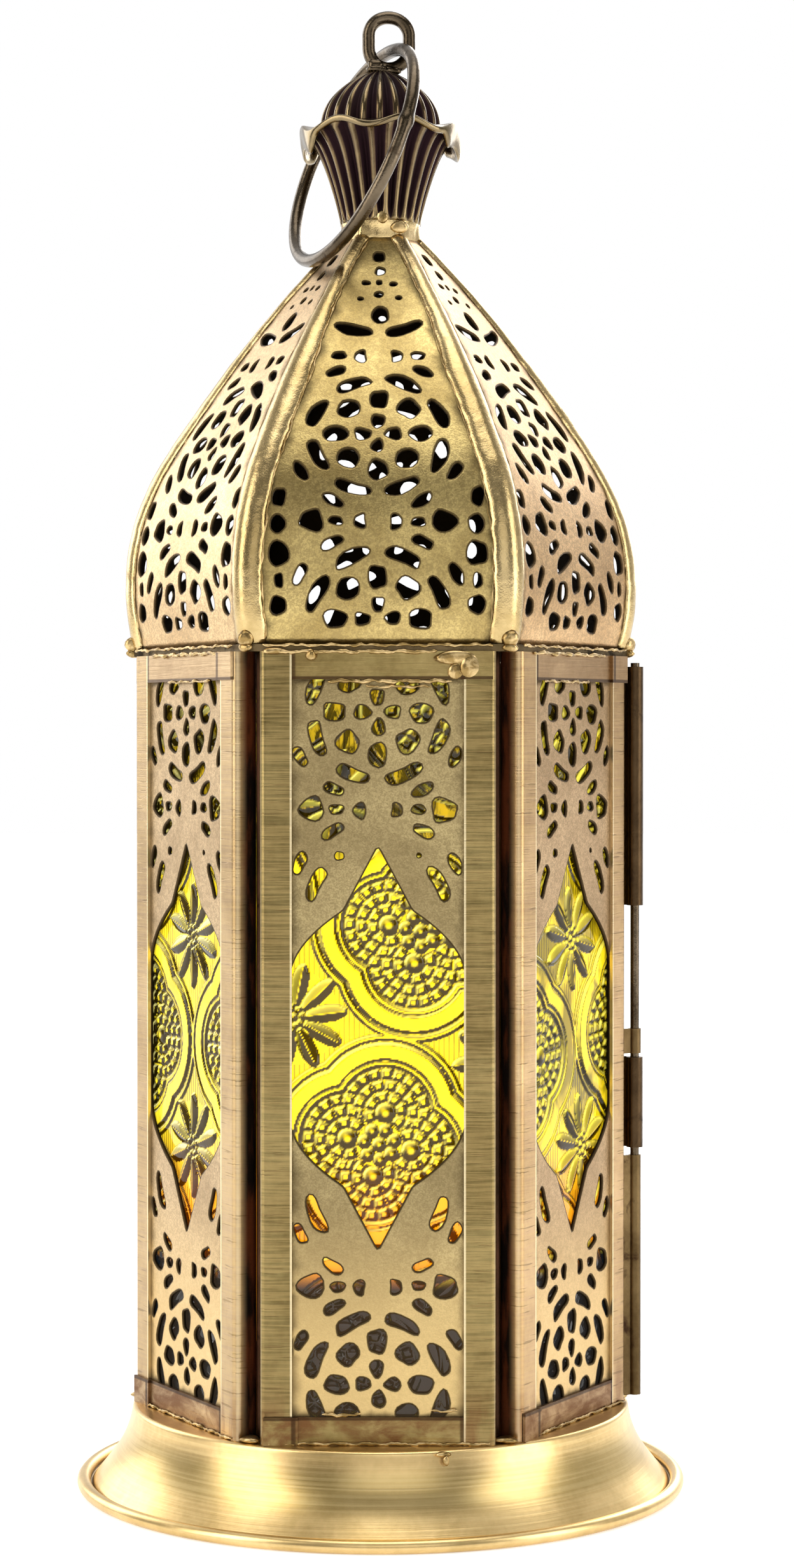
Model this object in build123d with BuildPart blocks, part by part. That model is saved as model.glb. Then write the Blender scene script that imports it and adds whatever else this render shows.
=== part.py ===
from build123d import *
from collections import namedtuple
from math import copysign, cos, pi, radians, sin, tan
import os

# Hexagonal candle lantern of pierced sheet brass: six framed panels of pierced plate over
# yellow pressed glass, a pierced onion dome with ribbed seams, a fluted finial with a wire
# eye and a loose hanging ring, on a spun round base.  One of the six panels is a door.
# Millimetres, +Z up, origin on the ground at the centre of the base.  The front panel
# faces -Y, and the door's hinge stands at the +X corner.

# ---------------------------------------------------------------- driving dimensions
sides = 6
sheet = 0.6                 # brass sheet of the frames and the dome

# spun base
base_radius = 55.0          # outside of the rolled rim
base_height = 15.0          # ground to the deck that carries the panels
base_sheet = 0.8
rim_wire_radius = 1.2       # rolled edge
rim_flat_sink = 0.06        # how far the rolled edge is dressed flat underneath
skirt_foot_gap = 0.4        # recess between the skirt's foot and the rolled edge
deck_overhang = 5.1         # deck radius beyond the panels' flat faces
deck_lip = 6.8              # deck flange width inside the panels' flat faces
shoulder_round = 0.8
skirt_hollow = 1.6          # how far the skirt's flare is hollowed behind a straight cone

# hexagonal body
body_apothem = 39.8         # axis to the outer face of a panel
body_height = 135.0
plate_thickness = 0.6
glass_thickness = 2.8
channel_face = 5.5          # visible width of the upright channels
channel_round = 1.2
rail_face = 4.8             # visible height of the cross rails
lap_thickness = 0.5         # rail end that laps over the upright beside it
lap_root = 1.0
corner_gap = 0.22           # half the gap between the inner corners of two panels
pane_gap = 0.6              # glass and plate stop short of the channel's web
pane_end_gap = 0.1
door_gap = 0.4              # above and below the door

# pattern punched in the plates and the dome
rosette_pitch = 33.4
plate_rosette_offset = 57.2     # panel centre to the end rosettes
plate_margin = 0.9              # metal kept beside the frame
medallion_apex = 34.3
medallion_shoulder = (5.8, 23.4)
medallion_belly = (11.4, 18.9)
medallion_flank = (14.9, 11.5)
medallion_tip_round = 0.8
medallion_shoulder_round = 1.6
medallion_margin = 1.1
gore_rosette_base = 4.4         # dome edge to the first rosette, along the gore
gore_margin = 0.5
gore_end_margin = 2.4
edge_column_x = 16.8
hole_squareness = 0.72          # 1 is an ellipse, less is squarer
hole_ripple = 0.07
hole_points = 12
punch_reach = 1.6               # how far a punch reaches each way through a gore

# dome
top_frame_thickness = 1.2
top_frame_inset = 0.6           # behind the panels' outer faces
top_frame_face = 4.4
# the gores' outline is two tangent arcs; each point is (apothem, height above the edge)
dome_foot = (38.3, -1.5)        # just below the edge, where the outline is cut off
dome_bulge = (39.75, 15.3)
dome_haunch = (34.3, 33.5)
dome_crown = (5.4, 75.3)        # just above the top, where the outline is cut off
dome_height = 74.3
seam_gap = 0.1
rib_thickness = 0.75
rib_half_width = 2.6

# finial; its sections are (height above the piece's foot, radius)
neck_radius = 7.7
neck_thickness = 0.8
flute_count = 24
flute_ratio = 0.052             # groove radius as a share of the section's radius
cup_sections = [(0.0, 7.3), (3.2, 7.4), (10.0, 9.6), (15.6, 11.6), (19.2, 13.0)]
cup_wall = 1.5
rim_outer = 14.8
rim_drop = 0.9
rim_lobes = 7
rim_lobe_radius = 4.0
rim_lobe_bite = 0.9
cap_sections = [(0.0, 11.2), (3.0, 10.4), (5.6, 8.8), (8.0, 6.0), (9.6, 2.5)]
cap_wall = 1.3

# wire eye and hanging ring
eye_x = 1.45                    # the eye leans a little to the right
eye_wire_radius = 1.2
eye_bend_radius = 3.65
eye_straight = 2.0
eye_top_z = 267.1
shank_x = 1.0
shank_sink = 2.4
ring_wire_radius = 1.22
ring_radius = 20.6
ring_clearance = 0.62           # ring wire above the foot of the eye
ring_beside_eye = 0.35          # ring wire beside the eye's middle
ring_lean = 21.0                # degrees that the ring leans from hanging straight down
ring_yaw = 25.0                 # degrees that its swing line turns from the Y axis

# door hinge at the +X corner
hinge_radius = 46.2             # axis to hinge line
pin_radius = 0.8
pin_clearance = 0.05
pin_top_z = 148.9
pin_bottom_z = 15.8
knuckle_radius = 1.5
frame_knuckle_radius = 1.15
door_knuckles_z = [(104.9, 148.2), (60.9, 77.3)]
frame_knuckles_z = [(15.8, 59.5), (78.0, 82.5)]
leaf_thickness = 0.6
leaf_reach = 38.5               # where the leaf meets the channel's web, from the axis

# latch at the corner on the door's far side
latch_z = 84.0
latch_offset = 6.0              # pivot beside the corner line
latch_stand_off = 0.7           # plate in front of the panels' corners
latch_thickness = 1.0
latch_width = 4.5
latch_length = 14.5             # pivot to the thumb pad, which clears the catch
latch_thumb_radius = 1.4
rivet_radius = 0.9
rivet_clearance = 0.05
rivet_head_radius = 1.7
rivet_head_height = 0.7
latch_face_gap = 0.08
catch_gap = 0.35
catch_thickness = 0.6
catch_width = 2.4
catch_offset = 4.9
catch_lip = 3.2

# candle cup on the floor
cup_inner_radius = 19.75
cup_depth = 9.0
cup_sheet = 0.5
floor_thickness = 0.6
floor_gap = 0.3

# ---------------------------------------------------------------- worked-out places
side_angle = 360 / sides
half_angle = side_angle / 2
half_tan = tan(radians(half_angle))
half_cos = cos(radians(half_angle))
half_sin = sin(radians(half_angle))

body_top = base_height + body_height
panel_mid_z = base_height + body_height / 2
channel_depth = 2 * sheet + plate_thickness + glass_thickness
panel_half = (body_apothem - channel_depth) * half_tan - corner_gap
window_half = panel_half - channel_face
pane_half = panel_half - sheet - pane_gap
inner_apothem = body_apothem - channel_depth
corner_radial = body_apothem * half_cos + panel_half * half_sin
corner_side = body_apothem * half_sin - panel_half * half_cos

dome_base_z = body_top + top_frame_thickness
dome_top_z = dome_base_z + dome_height
neck_top_z = dome_top_z + neck_thickness
cup_top_z = neck_top_z + cup_sections[-1][0]
cap_top_z = cup_top_z + cap_sections[-1][0]

os.makedirs("parts", exist_ok=True)


def write(part, name):
    """Labels one finished piece and writes its STEP file."""
    part.label = name
    export_step(part, f"parts/{name}.step")


def turned(part, steps):
    """A copy of a piece made at the front face, turned by whole sides about the axis."""
    return part.rotate(Axis.Z, steps * side_angle)


# ---------------------------------------------------------------- punched pattern
Hole = namedtuple("Hole", "x y angle along across taper bend")


def ring_holes(angles, radius, along, across, taper=0.0):
    """Holes round a rosette: 'across' runs outward, 'along' runs round the ring."""
    bend = (along / 2) ** 2 / (2 * radius) if along > across else 0.0
    return [
        Hole(radius * cos(radians(a)), radius * sin(radians(a)), a - 90, along, across, taper, bend)
        for a in angles
    ]


def rosette_holes():
    """One rosette about its centre: a cross of wedges inside three rings of holes."""
    quarter = [0, 90, 180, 270]
    diagonal = [45, 135, 225, 315]
    eighths = [22.5 + 45 * k for k in range(8)]
    thirds = [a + b for a in quarter for b in (30, 60)]
    return (
        ring_holes(quarter, 2.5, along=1.9, across=2.5, taper=0.35)
        + ring_holes(quarter, 7.2, along=3.0, across=3.7, taper=0.08)
        + ring_holes(diagonal, 7.2, along=3.7, across=3.3, taper=0.12)
        + ring_holes(eighths, 11.5, along=6.2, across=2.1)
        + ring_holes(thirds, 15.2, along=3.6, across=1.6)
    )


def row_holes():
    """The row half way between two rosettes, about its middle."""
    pair = [0, 180]
    return (
        ring_holes(pair, 3.2, along=2.4, across=1.7, taper=-0.2)
        + ring_holes(pair, 6.95, along=1.4, across=2.2)
        + ring_holes(pair, 11.4, along=3.7, across=3.9, taper=-0.3)
    )


def shifted(holes, y):
    """The same holes, moved along the panel by y."""
    return [hole._replace(y=hole.y + y) for hole in holes]


def reach(hole):
    """Half extents of a hole along x and y."""
    c = abs(cos(radians(hole.angle)))
    s = abs(sin(radians(hole.angle)))
    return (
        (c * hole.along + s * hole.across) / 2,
        (s * hole.along + c * hole.across) / 2,
    )


def hole_outline(hole, origin_x=0.0, origin_y=0.0):
    """Points of a hand-cut hole: a squared ellipse, tapered, bent and slightly rippled."""
    points = []
    c = cos(radians(hole.angle))
    s = sin(radians(hole.angle))
    phase = 1.9 * hole.x + 2.7 * hole.y
    for k in range(hole_points):
        turn = 2 * pi * k / hole_points
        u = copysign(abs(cos(turn)) ** hole_squareness, cos(turn))
        v = copysign(abs(sin(turn)) ** hole_squareness, sin(turn))
        ripple = 1 + hole_ripple * sin(3 * turn + phase)
        along = hole.along / 2 * u * (1 + hole.taper * v) * ripple
        across = hole.across / 2 * v * (1 + 2 * hole_ripple * sin(4 * u + phase)) - hole.bend * u * u
        points.append((origin_x + c * along - s * across, origin_y + s * along + c * across))
    return points


def medallion_half_width(y):
    """Half the width of the pointed opening at height y above its middle."""
    y = abs(y)
    if y >= medallion_apex:
        return 0.0
    shoulder_x, shoulder_y = medallion_shoulder
    if y >= shoulder_y:
        return shoulder_x * (medallion_apex - y) / (medallion_apex - shoulder_y)
    flank_x, flank_y = medallion_flank
    if y <= flank_y:
        return flank_x
    bulge = 1 - ((y - flank_y) / (shoulder_y - flank_y)) ** 2
    return shoulder_x + (flank_x - shoulder_x) * bulge


def plate_holes():
    """The punched holes of a panel, measured from the panel's middle."""
    half_pattern = (
        shifted(rosette_holes(), plate_rosette_offset)
        + shifted(row_holes(), plate_rosette_offset - rosette_pitch / 2)
        + shifted(rosette_holes(), plate_rosette_offset - rosette_pitch)
    )
    plate_end = body_height / 2 - sheet - pane_end_gap
    kept = []
    for hole in half_pattern:
        reach_x, reach_y = reach(hole)
        inner_y = max(hole.y - reach_y, 0)
        clear_side = abs(hole.x) + reach_x < window_half - plate_margin + 1.2
        clear_end = hole.y + reach_y < plate_end - plate_margin
        clear_middle = abs(hole.x) - reach_x > medallion_half_width(inner_y) + medallion_margin
        above_middle = inner_y > medallion_apex + medallion_margin
        if clear_side and clear_end and hole.y > 0 and (clear_middle or above_middle):
            kept.append(hole)
    mirrored = [
        hole._replace(y=-hole.y, angle=-hole.angle, bend=-hole.bend, taper=-hole.taper)
        for hole in kept
    ]
    return kept + mirrored


# ---------------------------------------------------------------- panels
def make_channels(height):
    """Two upright U channels of a panel, rounded at their outer corners."""
    with BuildPart() as channels:
        with BuildSketch(Plane.XY.offset(panel_mid_z - height / 2)) as upright:
            with Locations((panel_half - channel_face / 2, -body_apothem + channel_depth / 2)):
                Rectangle(channel_face, channel_depth)
            fillet(upright.vertices().sort_by(Axis.X)[-2:], radius=channel_round)
            with Locations((panel_half - sheet - channel_face / 2, -body_apothem + channel_depth / 2)):
                Rectangle(channel_face, channel_depth - 2 * sheet, mode=Mode.SUBTRACT)
        extrude(amount=height)
        mirror(about=Plane.YZ)
    return channels.part


def make_rails(height):
    """Top and bottom rails: U strips between the uprights, each lapping one of them."""
    top = panel_mid_z + height / 2
    with BuildPart() as rails:
        with BuildSketch(Plane.YZ):
            with Locations((-body_apothem + channel_depth / 2, top - rail_face / 2)):
                Rectangle(channel_depth, rail_face)
            with Locations((-body_apothem + channel_depth / 2, top - sheet - rail_face / 2)):
                Rectangle(channel_depth - 2 * sheet, rail_face, mode=Mode.SUBTRACT)
        extrude(amount=window_half, both=True)
        lap_length = channel_face + lap_root - channel_round / 2
        with BuildSketch(Plane.XZ.offset(body_apothem)):
            with Locations((window_half - lap_root + lap_length / 2, top - rail_face / 2)):
                Rectangle(lap_length, rail_face)
        extrude(amount=lap_thickness)
        face_axis = Axis((0, 0, panel_mid_z), (0, 1, 0))
        add(rails.part.rotate(face_axis, 180))
    return rails.part


def make_pane_plane(depth):
    """A plane parallel to the front face, 'depth' behind it, about the panel's middle."""
    return Plane(origin=(0, depth - body_apothem, panel_mid_z), x_dir=(1, 0, 0), z_dir=(0, -1, 0))


def make_medallion():
    """The pointed opening in the middle of a plate."""
    shoulder_x, shoulder_y = medallion_shoulder
    flank_x, flank_y = medallion_flank
    with BuildSketch() as medallion:
        with BuildLine():
            Line((0, medallion_apex), medallion_shoulder)
            ThreePointArc(medallion_shoulder, medallion_belly, medallion_flank)
            Line(medallion_flank, (flank_x, 0))
            mirror(about=Plane.YZ)
            mirror(about=Plane.XZ)
        make_face()
        corners = medallion.vertices()
        tips = [v for v in corners if abs(v.X) < 0.01 and abs(v.Y) > shoulder_y]
        fillet(tips, radius=medallion_tip_round)
        corners = medallion.vertices()
        shoulders = [v for v in corners if abs(abs(v.Y) - shoulder_y) < 0.01]
        fillet(shoulders, radius=medallion_shoulder_round)
    return medallion.sketch


def make_plate(height):
    """The pierced plate of a panel, behind the front flanges."""
    medallion = make_medallion()
    with BuildPart() as plate:
        with BuildSketch(make_pane_plane(sheet)):
            Rectangle(2 * pane_half, height - 2 * (sheet + pane_end_gap))
            add(medallion, mode=Mode.SUBTRACT)
            for hole in plate_holes():
                with BuildLine():
                    Polyline(*hole_outline(hole, hole.x, hole.y), close=True)
                make_face(mode=Mode.SUBTRACT)
        extrude(amount=-plate_thickness)
    return plate.part


def make_glass(height):
    """The glass pane of a panel, held between the plate and the back flanges."""
    with BuildPart() as glass:
        with BuildSketch(make_pane_plane(sheet + plate_thickness)):
            Rectangle(2 * pane_half, height - 2 * (sheet + pane_end_gap))
        extrude(amount=-glass_thickness)
    return glass.part


panel_names = ["front", "front_right", "door", "back", "back_left", "front_left"]
door_height = body_height - 2 * door_gap

fixed_pieces = {
    "channels": make_channels(body_height),
    "rails": make_rails(body_height),
    "plate": make_plate(body_height),
    "glass": make_glass(body_height),
}
door_pieces = {
    "channels": make_channels(door_height),
    "rails": make_rails(door_height),
    "plate": make_plate(door_height),
    "glass": make_glass(door_height),
}
for step, panel_name in enumerate(panel_names):
    pieces = door_pieces if panel_name == "door" else fixed_pieces
    for piece_name, piece in pieces.items():
        write(turned(piece, step), f"{panel_name}_{piece_name}")

# ---------------------------------------------------------------- base, floor and candle cup
deck_radius = body_apothem + deck_overhang
rim_centre = base_radius - rim_wire_radius
skirt_foot = rim_centre - rim_wire_radius - skirt_foot_gap
skirt_mid = ((deck_radius + skirt_foot) / 2 - skirt_hollow, base_height / 2)

with BuildPart() as base_skirt:
    with BuildSketch(Plane.XZ) as skirt_section:
        with BuildLine() as skirt_line:
            deck = Line(
                (body_apothem - deck_lip, base_height - base_sheet / 2),
                (deck_radius - base_sheet / 2, base_height - base_sheet / 2),
            )
            flare = ThreePointArc(deck @ 1, skirt_mid, (skirt_foot, base_sheet / 2))
            Line(flare @ 1, (rim_centre, base_sheet / 2))
        trace(line_width=base_sheet)
        with Locations((rim_centre, rim_wire_radius - rim_flat_sink)):
            Circle(rim_wire_radius)
        with Locations((base_radius / 2, -base_radius / 2)):
            Rectangle(2 * base_radius, base_radius, mode=Mode.SUBTRACT)
    revolve(axis=Axis.Z)
write(base_skirt.part, "base_skirt")

with BuildPart() as floor_plate:
    with BuildSketch(Plane.XY.offset(base_height)):
        RegularPolygon(inner_apothem - floor_gap, sides, major_radius=False)
    extrude(amount=floor_thickness)
write(floor_plate.part, "floor_plate")

cup_floor_z = base_height + floor_thickness
with BuildPart() as candle_cup:
    with BuildSketch(Plane.XY.offset(cup_floor_z)):
        Circle(cup_inner_radius + cup_sheet)
    extrude(amount=cup_depth + cup_sheet)
    with BuildSketch(Plane.XY.offset(cup_floor_z + cup_sheet)):
        Circle(cup_inner_radius)
    extrude(amount=cup_depth, mode=Mode.SUBTRACT)
write(candle_cup.part, "candle_cup")

# ---------------------------------------------------------------- top frame and dome
top_frame_apothem = body_apothem - top_frame_inset
with BuildPart() as top_frame:
    with BuildSketch(Plane.XY.offset(body_top)):
        RegularPolygon(top_frame_apothem, sides, major_radius=False)
        RegularPolygon(top_frame_apothem - top_frame_face, sides, major_radius=False, mode=Mode.SUBTRACT)
    extrude(amount=top_frame_thickness)
write(top_frame.part, "top_frame")

# the outline stands in the plane x = 0 on the front side: x here is global y, y is global z
def outline_point(point):
    """An outline point in that plane."""
    apothem, height = point
    return (-apothem, dome_base_z + height)


with BuildLine() as dome_line:
    haunch = outline_point(dome_haunch)
    lower_arc = ThreePointArc(outline_point(dome_foot), outline_point(dome_bulge), haunch)
    TangentArc(haunch, outline_point(dome_crown), tangent=lower_arc % 1)
dome_wire = dome_line.wire()


def offset_arcs(distance):
    """Three points of each arc of the outline, moved outward by 'distance'."""
    arcs = []
    for edge in dome_line.edges().sort_by(Axis.Y):
        triple = []
        for share in (0, 0.5, 1):
            position = edge.position_at(share)
            along = edge.tangent_at(share)
            triple.append((position.X - distance * along.Y, position.Y + distance * along.X))
        arcs.append(triple)
    return arcs


def make_dome_band(inner, outer):
    """A strip of dome wall across the front face, between two offsets of the outline."""
    inner_arcs = offset_arcs(inner)
    outer_arcs = offset_arcs(outer)
    with BuildPart() as band:
        with BuildSketch(Plane.YZ):
            with BuildLine():
                for triple in inner_arcs + outer_arcs:
                    ThreePointArc(*triple)
                Line(inner_arcs[0][0], outer_arcs[0][0])
                Line(inner_arcs[-1][2], outer_arcs[-1][2])
            make_face()
        extrude(amount=body_apothem, both=True)
        split(bisect_by=Plane.XY.offset(dome_base_z), keep=Keep.TOP)
        split(bisect_by=Plane.XY.offset(dome_base_z + dome_height), keep=Keep.BOTTOM)
    return band.part


def corner_plane(hand, shift):
    """The upright plane through a corner beside the front, moved towards the front's middle."""
    normal = Vector(-hand * half_cos, -half_sin, 0)
    return Plane(origin=normal * shift, z_dir=normal)


def length_at_height(z):
    """Length of the outline from its foot to the height z, found by halving."""
    low = 0.0
    high = dome_wire.length
    for _ in range(40):
        middle = (low + high) / 2
        if dome_wire.position_at(middle, position_mode=PositionMode.LENGTH).Y < z:
            low = middle
        else:
            high = middle
    return high


edge_length = length_at_height(dome_base_z)
gore_length = length_at_height(dome_top_z) - edge_length


def gore_point(arc_length):
    """Position and direction of a gore's outer face, 'arc_length' up from the dome's edge."""
    position = dome_wire.position_at(edge_length + arc_length, position_mode=PositionMode.LENGTH)
    along = dome_wire.tangent_at(edge_length + arc_length, position_mode=PositionMode.LENGTH)
    return position, along


def gore_holes():
    """The punched holes of a gore; y is the distance along the gore from the dome's edge."""
    pattern = []
    for k in range(3):
        rosette_y = gore_rosette_base + k * rosette_pitch
        pattern += shifted(rosette_holes(), rosette_y)
        pattern += shifted(row_holes(), rosette_y + rosette_pitch / 2)
    row_y = gore_rosette_base + rosette_pitch / 2
    edge_column = [(4.3, 2.0, 3.2), (-0.5, 2.3, 2.9), (-5.5, 3.2, 3.9), (-10.2, 1.3, 2.3), (-14.4, 2.6, 2.9)]
    for hand in (-1, 1):
        for offset, width, length in edge_column:
            pattern.append(Hole(hand * edge_column_x, row_y + offset, 0, width, length, 0, 0))
    kept = []
    for hole in pattern:
        reach_x, reach_y = reach(hole)
        upper = min(max(hole.y + reach_y, 0), gore_length)
        if hole.y - reach_y < gore_end_margin or hole.y + reach_y > gore_length - 2 * gore_end_margin:
            continue
        half_width = -gore_point(upper)[0].X * half_tan - rib_half_width / half_cos - gore_margin
        if abs(hole.x) + reach_x < half_width:
            kept.append(hole)
    return kept


def make_gore_cutters():
    """One punch for each hole, square to the gore where it stands."""
    cutters = []
    for hole in gore_holes():
        position, along = gore_point(hole.y)
        face = Plane(
            origin=(hole.x, position.X, position.Y),
            x_dir=(1, 0, 0),
            z_dir=(0, -along.Y, along.X),
        )
        with BuildPart() as cutter:
            with BuildSketch(face):
                with BuildLine():
                    Polyline(*hole_outline(hole), close=True)
                make_face()
            extrude(amount=punch_reach, both=True)
        cutters.append(cutter.part)
    return cutters


gore_blank = make_dome_band(-sheet, 0)
with BuildPart() as gore:
    add(gore_blank)
    for hand in (-1, 1):
        split(bisect_by=corner_plane(hand, seam_gap / 2), keep=Keep.TOP)
    add(make_gore_cutters(), mode=Mode.SUBTRACT)

rib_blank = make_dome_band(0, rib_thickness)
with BuildPart() as rib:
    add(rib_blank)
    split(bisect_by=corner_plane(1, 0), keep=Keep.TOP)
    split(bisect_by=corner_plane(1, rib_half_width), keep=Keep.BOTTOM)
    mirror(about=corner_plane(1, 0))

gore_names = ["front", "front_right", "back_right", "back", "back_left", "front_left"]
for step, gore_name in enumerate(gore_names):
    write(turned(gore.part, step), f"dome_gore_{gore_name}")
    write(turned(rib.part, step), f"dome_rib_{step + 1}")

# ---------------------------------------------------------------- finial
with BuildPart() as neck_disc:
    with BuildSketch(Plane.XY.offset(dome_top_z)):
        Circle(neck_radius)
    extrude(amount=neck_thickness)
write(neck_disc.part, "neck_disc")


def fluted_section(radius):
    """A round section with grooves round it."""
    Circle(radius)
    with PolarLocations(radius, flute_count):
        Circle(radius * flute_ratio, mode=Mode.SUBTRACT)


def fluted_shell(base_z, sections, wall):
    """A fluted spun shell lofted through round sections, hollow inside."""
    with BuildPart() as shell:
        for height, radius in sections:
            with BuildSketch(Plane.XY.offset(base_z + height)):
                fluted_section(radius)
        loft()
        for height, radius in sections:
            with BuildSketch(Plane.XY.offset(base_z + height)):
                Circle(max(radius - wall, wall / 3))
        loft(mode=Mode.SUBTRACT)
    return shell.part


cup_shell = fluted_shell(neck_top_z, cup_sections, cup_wall)
rim_inner = cup_sections[-1][1] - cup_wall
with BuildPart() as fluted_cup:
    add(cup_shell)
    with BuildSketch(Plane.XZ):
        with BuildLine():
            Polyline(
                (rim_inner, cup_top_z - sheet),
                (rim_inner, cup_top_z),
                (cap_sections[0][1] + 0.4, cup_top_z),
                (rim_outer, cup_top_z - rim_drop),
                (rim_outer, cup_top_z - rim_drop - sheet),
                (rim_inner + 1, cup_top_z - rim_drop - sheet),
                close=True,
            )
        make_face()
    revolve(axis=Axis.Z)
    with PolarLocations(rim_outer + rim_lobe_radius - rim_lobe_bite, rim_lobes):
        with Locations((0, 0, cup_top_z - rim_drop)):
            Cylinder(rim_lobe_radius, 4 * rim_drop, mode=Mode.SUBTRACT)
write(fluted_cup.part, "fluted_cup")

cap_shell = fluted_shell(cup_top_z, cap_sections, cap_wall)
with BuildPart() as fluted_cap:
    add(cap_shell)
    with Locations((shank_x, 0, cap_top_z)):
        Cylinder(eye_wire_radius, 8, mode=Mode.SUBTRACT)
write(fluted_cap.part, "fluted_cap")

# ---------------------------------------------------------------- eye and hanging ring
eye_top_arc_z = eye_top_z - eye_wire_radius - eye_bend_radius
eye_low_arc_z = eye_top_arc_z - eye_straight
with BuildPart() as eye_loop:
    with BuildLine(Plane.XZ) as eye_path:
        top_bend = CenterArc((eye_x, eye_top_arc_z), eye_bend_radius, 0, 180)
        left_leg = Line(top_bend @ 1, (eye_x - eye_bend_radius, eye_low_arc_z))
        low_bend = CenterArc((eye_x, eye_low_arc_z), eye_bend_radius, 180, 180)
        Line(low_bend @ 1, top_bend @ 0)
    with BuildSketch(Plane(origin=top_bend @ 0, z_dir=top_bend % 0)):
        Circle(eye_wire_radius)
    sweep(path=eye_path.wire())
    shank_base_z = cap_top_z - shank_sink
    with BuildSketch(Plane((shank_x, 0, shank_base_z))):
        Circle(eye_wire_radius)
    extrude(amount=eye_low_arc_z - eye_bend_radius - shank_base_z)
write(eye_loop.part, "eye_loop")

# the ring's wire passes through the foot of the eye, and turns there about its own line
ring_pivot_z = eye_low_arc_z - eye_bend_radius + eye_wire_radius + ring_wire_radius + ring_clearance
ring_pivot = Vector(eye_x + ring_beside_eye, 0, ring_pivot_z)
swing_line = Vector(-sin(radians(ring_yaw)), cos(radians(ring_yaw)), 0)
lean_side = Vector(cos(radians(ring_yaw)), sin(radians(ring_yaw)), 0)
to_centre = (lean_side * -sin(radians(ring_lean))) + Vector(0, 0, -cos(radians(ring_lean)))
ring_normal = swing_line.cross(to_centre)
ring_centre = ring_pivot + to_centre * ring_radius
with BuildPart() as hanging_ring:
    with Locations(Plane(origin=ring_centre, x_dir=to_centre, z_dir=ring_normal)):
        Torus(ring_radius, ring_wire_radius)
write(hanging_ring.part, "hanging_ring")

# ---------------------------------------------------------------- hinge
with BuildPart() as hinge_pin:
    with BuildSketch(Plane((hinge_radius, 0, pin_bottom_z))):
        Circle(pin_radius)
    extrude(amount=pin_top_z - pin_bottom_z)
write(hinge_pin.part, "hinge_pin")


def make_knuckles(spans, radius, bore, hand):
    """Tubes round the hinge pin, each with a leaf to the channel web on one side."""
    face_normal = Vector(half_cos, hand * half_sin, 0)
    face_across = Vector(half_sin, -hand * half_cos, 0)
    web_point = face_normal * leaf_reach + face_across * panel_half
    leaf_line = web_point - Vector(hinge_radius, 0, 0)
    with BuildPart() as knuckles:
        for low, high in spans:
            with BuildSketch(Plane((hinge_radius, 0, low), x_dir=leaf_line, z_dir=(0, 0, 1))):
                Circle(radius)
                with Locations((leaf_line.length / 2, 0)):
                    Rectangle(leaf_line.length + 2 * leaf_thickness, leaf_thickness)
                Circle(bore, mode=Mode.SUBTRACT)
            extrude(amount=high - low)
        web_plane = Plane(origin=web_point, z_dir=face_across)
        split(bisect_by=web_plane, keep=Keep.TOP)
    return knuckles.part


write(make_knuckles(door_knuckles_z, knuckle_radius, pin_radius + pin_clearance, 1), "door_knuckles")
write(make_knuckles(frame_knuckles_z, frame_knuckle_radius, pin_radius, -1), "frame_knuckles")

# ---------------------------------------------------------------- latch
# Made at the +X corner, with the door on its -Y side, and turned to its own corner.
latch_back = corner_radial + latch_stand_off
latch_steps = 1


def latch_plane(radial):
    """A plane square to the corner's radius, with x along +Y and y up."""
    return Plane(origin=(radial, latch_offset, latch_z), x_dir=(0, 1, 0), z_dir=(1, 0, 0))


with BuildPart() as latch_plate:
    with BuildSketch(latch_plane(latch_back)):
        with Locations((0, -latch_length / 2)):
            Rectangle(latch_width, latch_length)
        Circle(latch_width / 2)
        with Locations((0, -latch_length)):
            Circle(latch_width / 2)
        Circle(rivet_radius + rivet_clearance, mode=Mode.SUBTRACT)
    extrude(amount=latch_thickness)
    with BuildSketch(latch_plane(latch_back + latch_thickness)):
        with Locations((0, -latch_length)):
            Circle(latch_thumb_radius)
    extrude(amount=latch_thickness)
write(turned(latch_plate.part, latch_steps), "latch_plate")

back_face = Plane(
    origin=(corner_radial, corner_side, 0),
    z_dir=(half_cos, half_sin, 0),
)
with BuildPart() as latch_rivet:
    with BuildSketch(latch_plane(latch_back - latch_face_gap)):
        Circle(rivet_head_radius)
    extrude(amount=-channel_depth)
    with BuildSketch(latch_plane(latch_back - latch_face_gap)):
        Circle(rivet_radius)
    extrude(amount=latch_thickness + 2 * latch_face_gap)
    with BuildSketch(latch_plane(latch_back + latch_thickness + latch_face_gap)):
        Circle(rivet_head_radius)
    extrude(amount=rivet_head_height)
    split(bisect_by=back_face, keep=Keep.TOP)
write(turned(latch_rivet.part, latch_steps), "latch_rivet")

door_face = Plane(
    origin=(corner_radial, -corner_side, 0),
    z_dir=(half_cos, -half_sin, 0),
)
catch_top_z = latch_z + latch_width / 2 + catch_gap
catch_inside = latch_back + latch_thickness + catch_gap
with BuildPart() as latch_catch:
    with BuildSketch(Plane.XZ.offset(catch_offset - catch_width / 2)):
        with BuildLine():
            Polyline(
                (corner_radial - channel_depth, catch_top_z),
                (corner_radial - channel_depth, catch_top_z + catch_thickness),
                (catch_inside + catch_thickness, catch_top_z + catch_thickness),
                (catch_inside + catch_thickness, catch_top_z - catch_lip),
                (catch_inside, catch_top_z - catch_lip),
                (catch_inside, catch_top_z),
                close=True,
            )
        make_face()
    extrude(amount=catch_width)
    split(bisect_by=door_face, keep=Keep.TOP)
write(turned(latch_catch.part, latch_steps), "latch_catch")
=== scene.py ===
from collections import namedtuple
from math import cos, pi, radians, sin, tan

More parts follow.
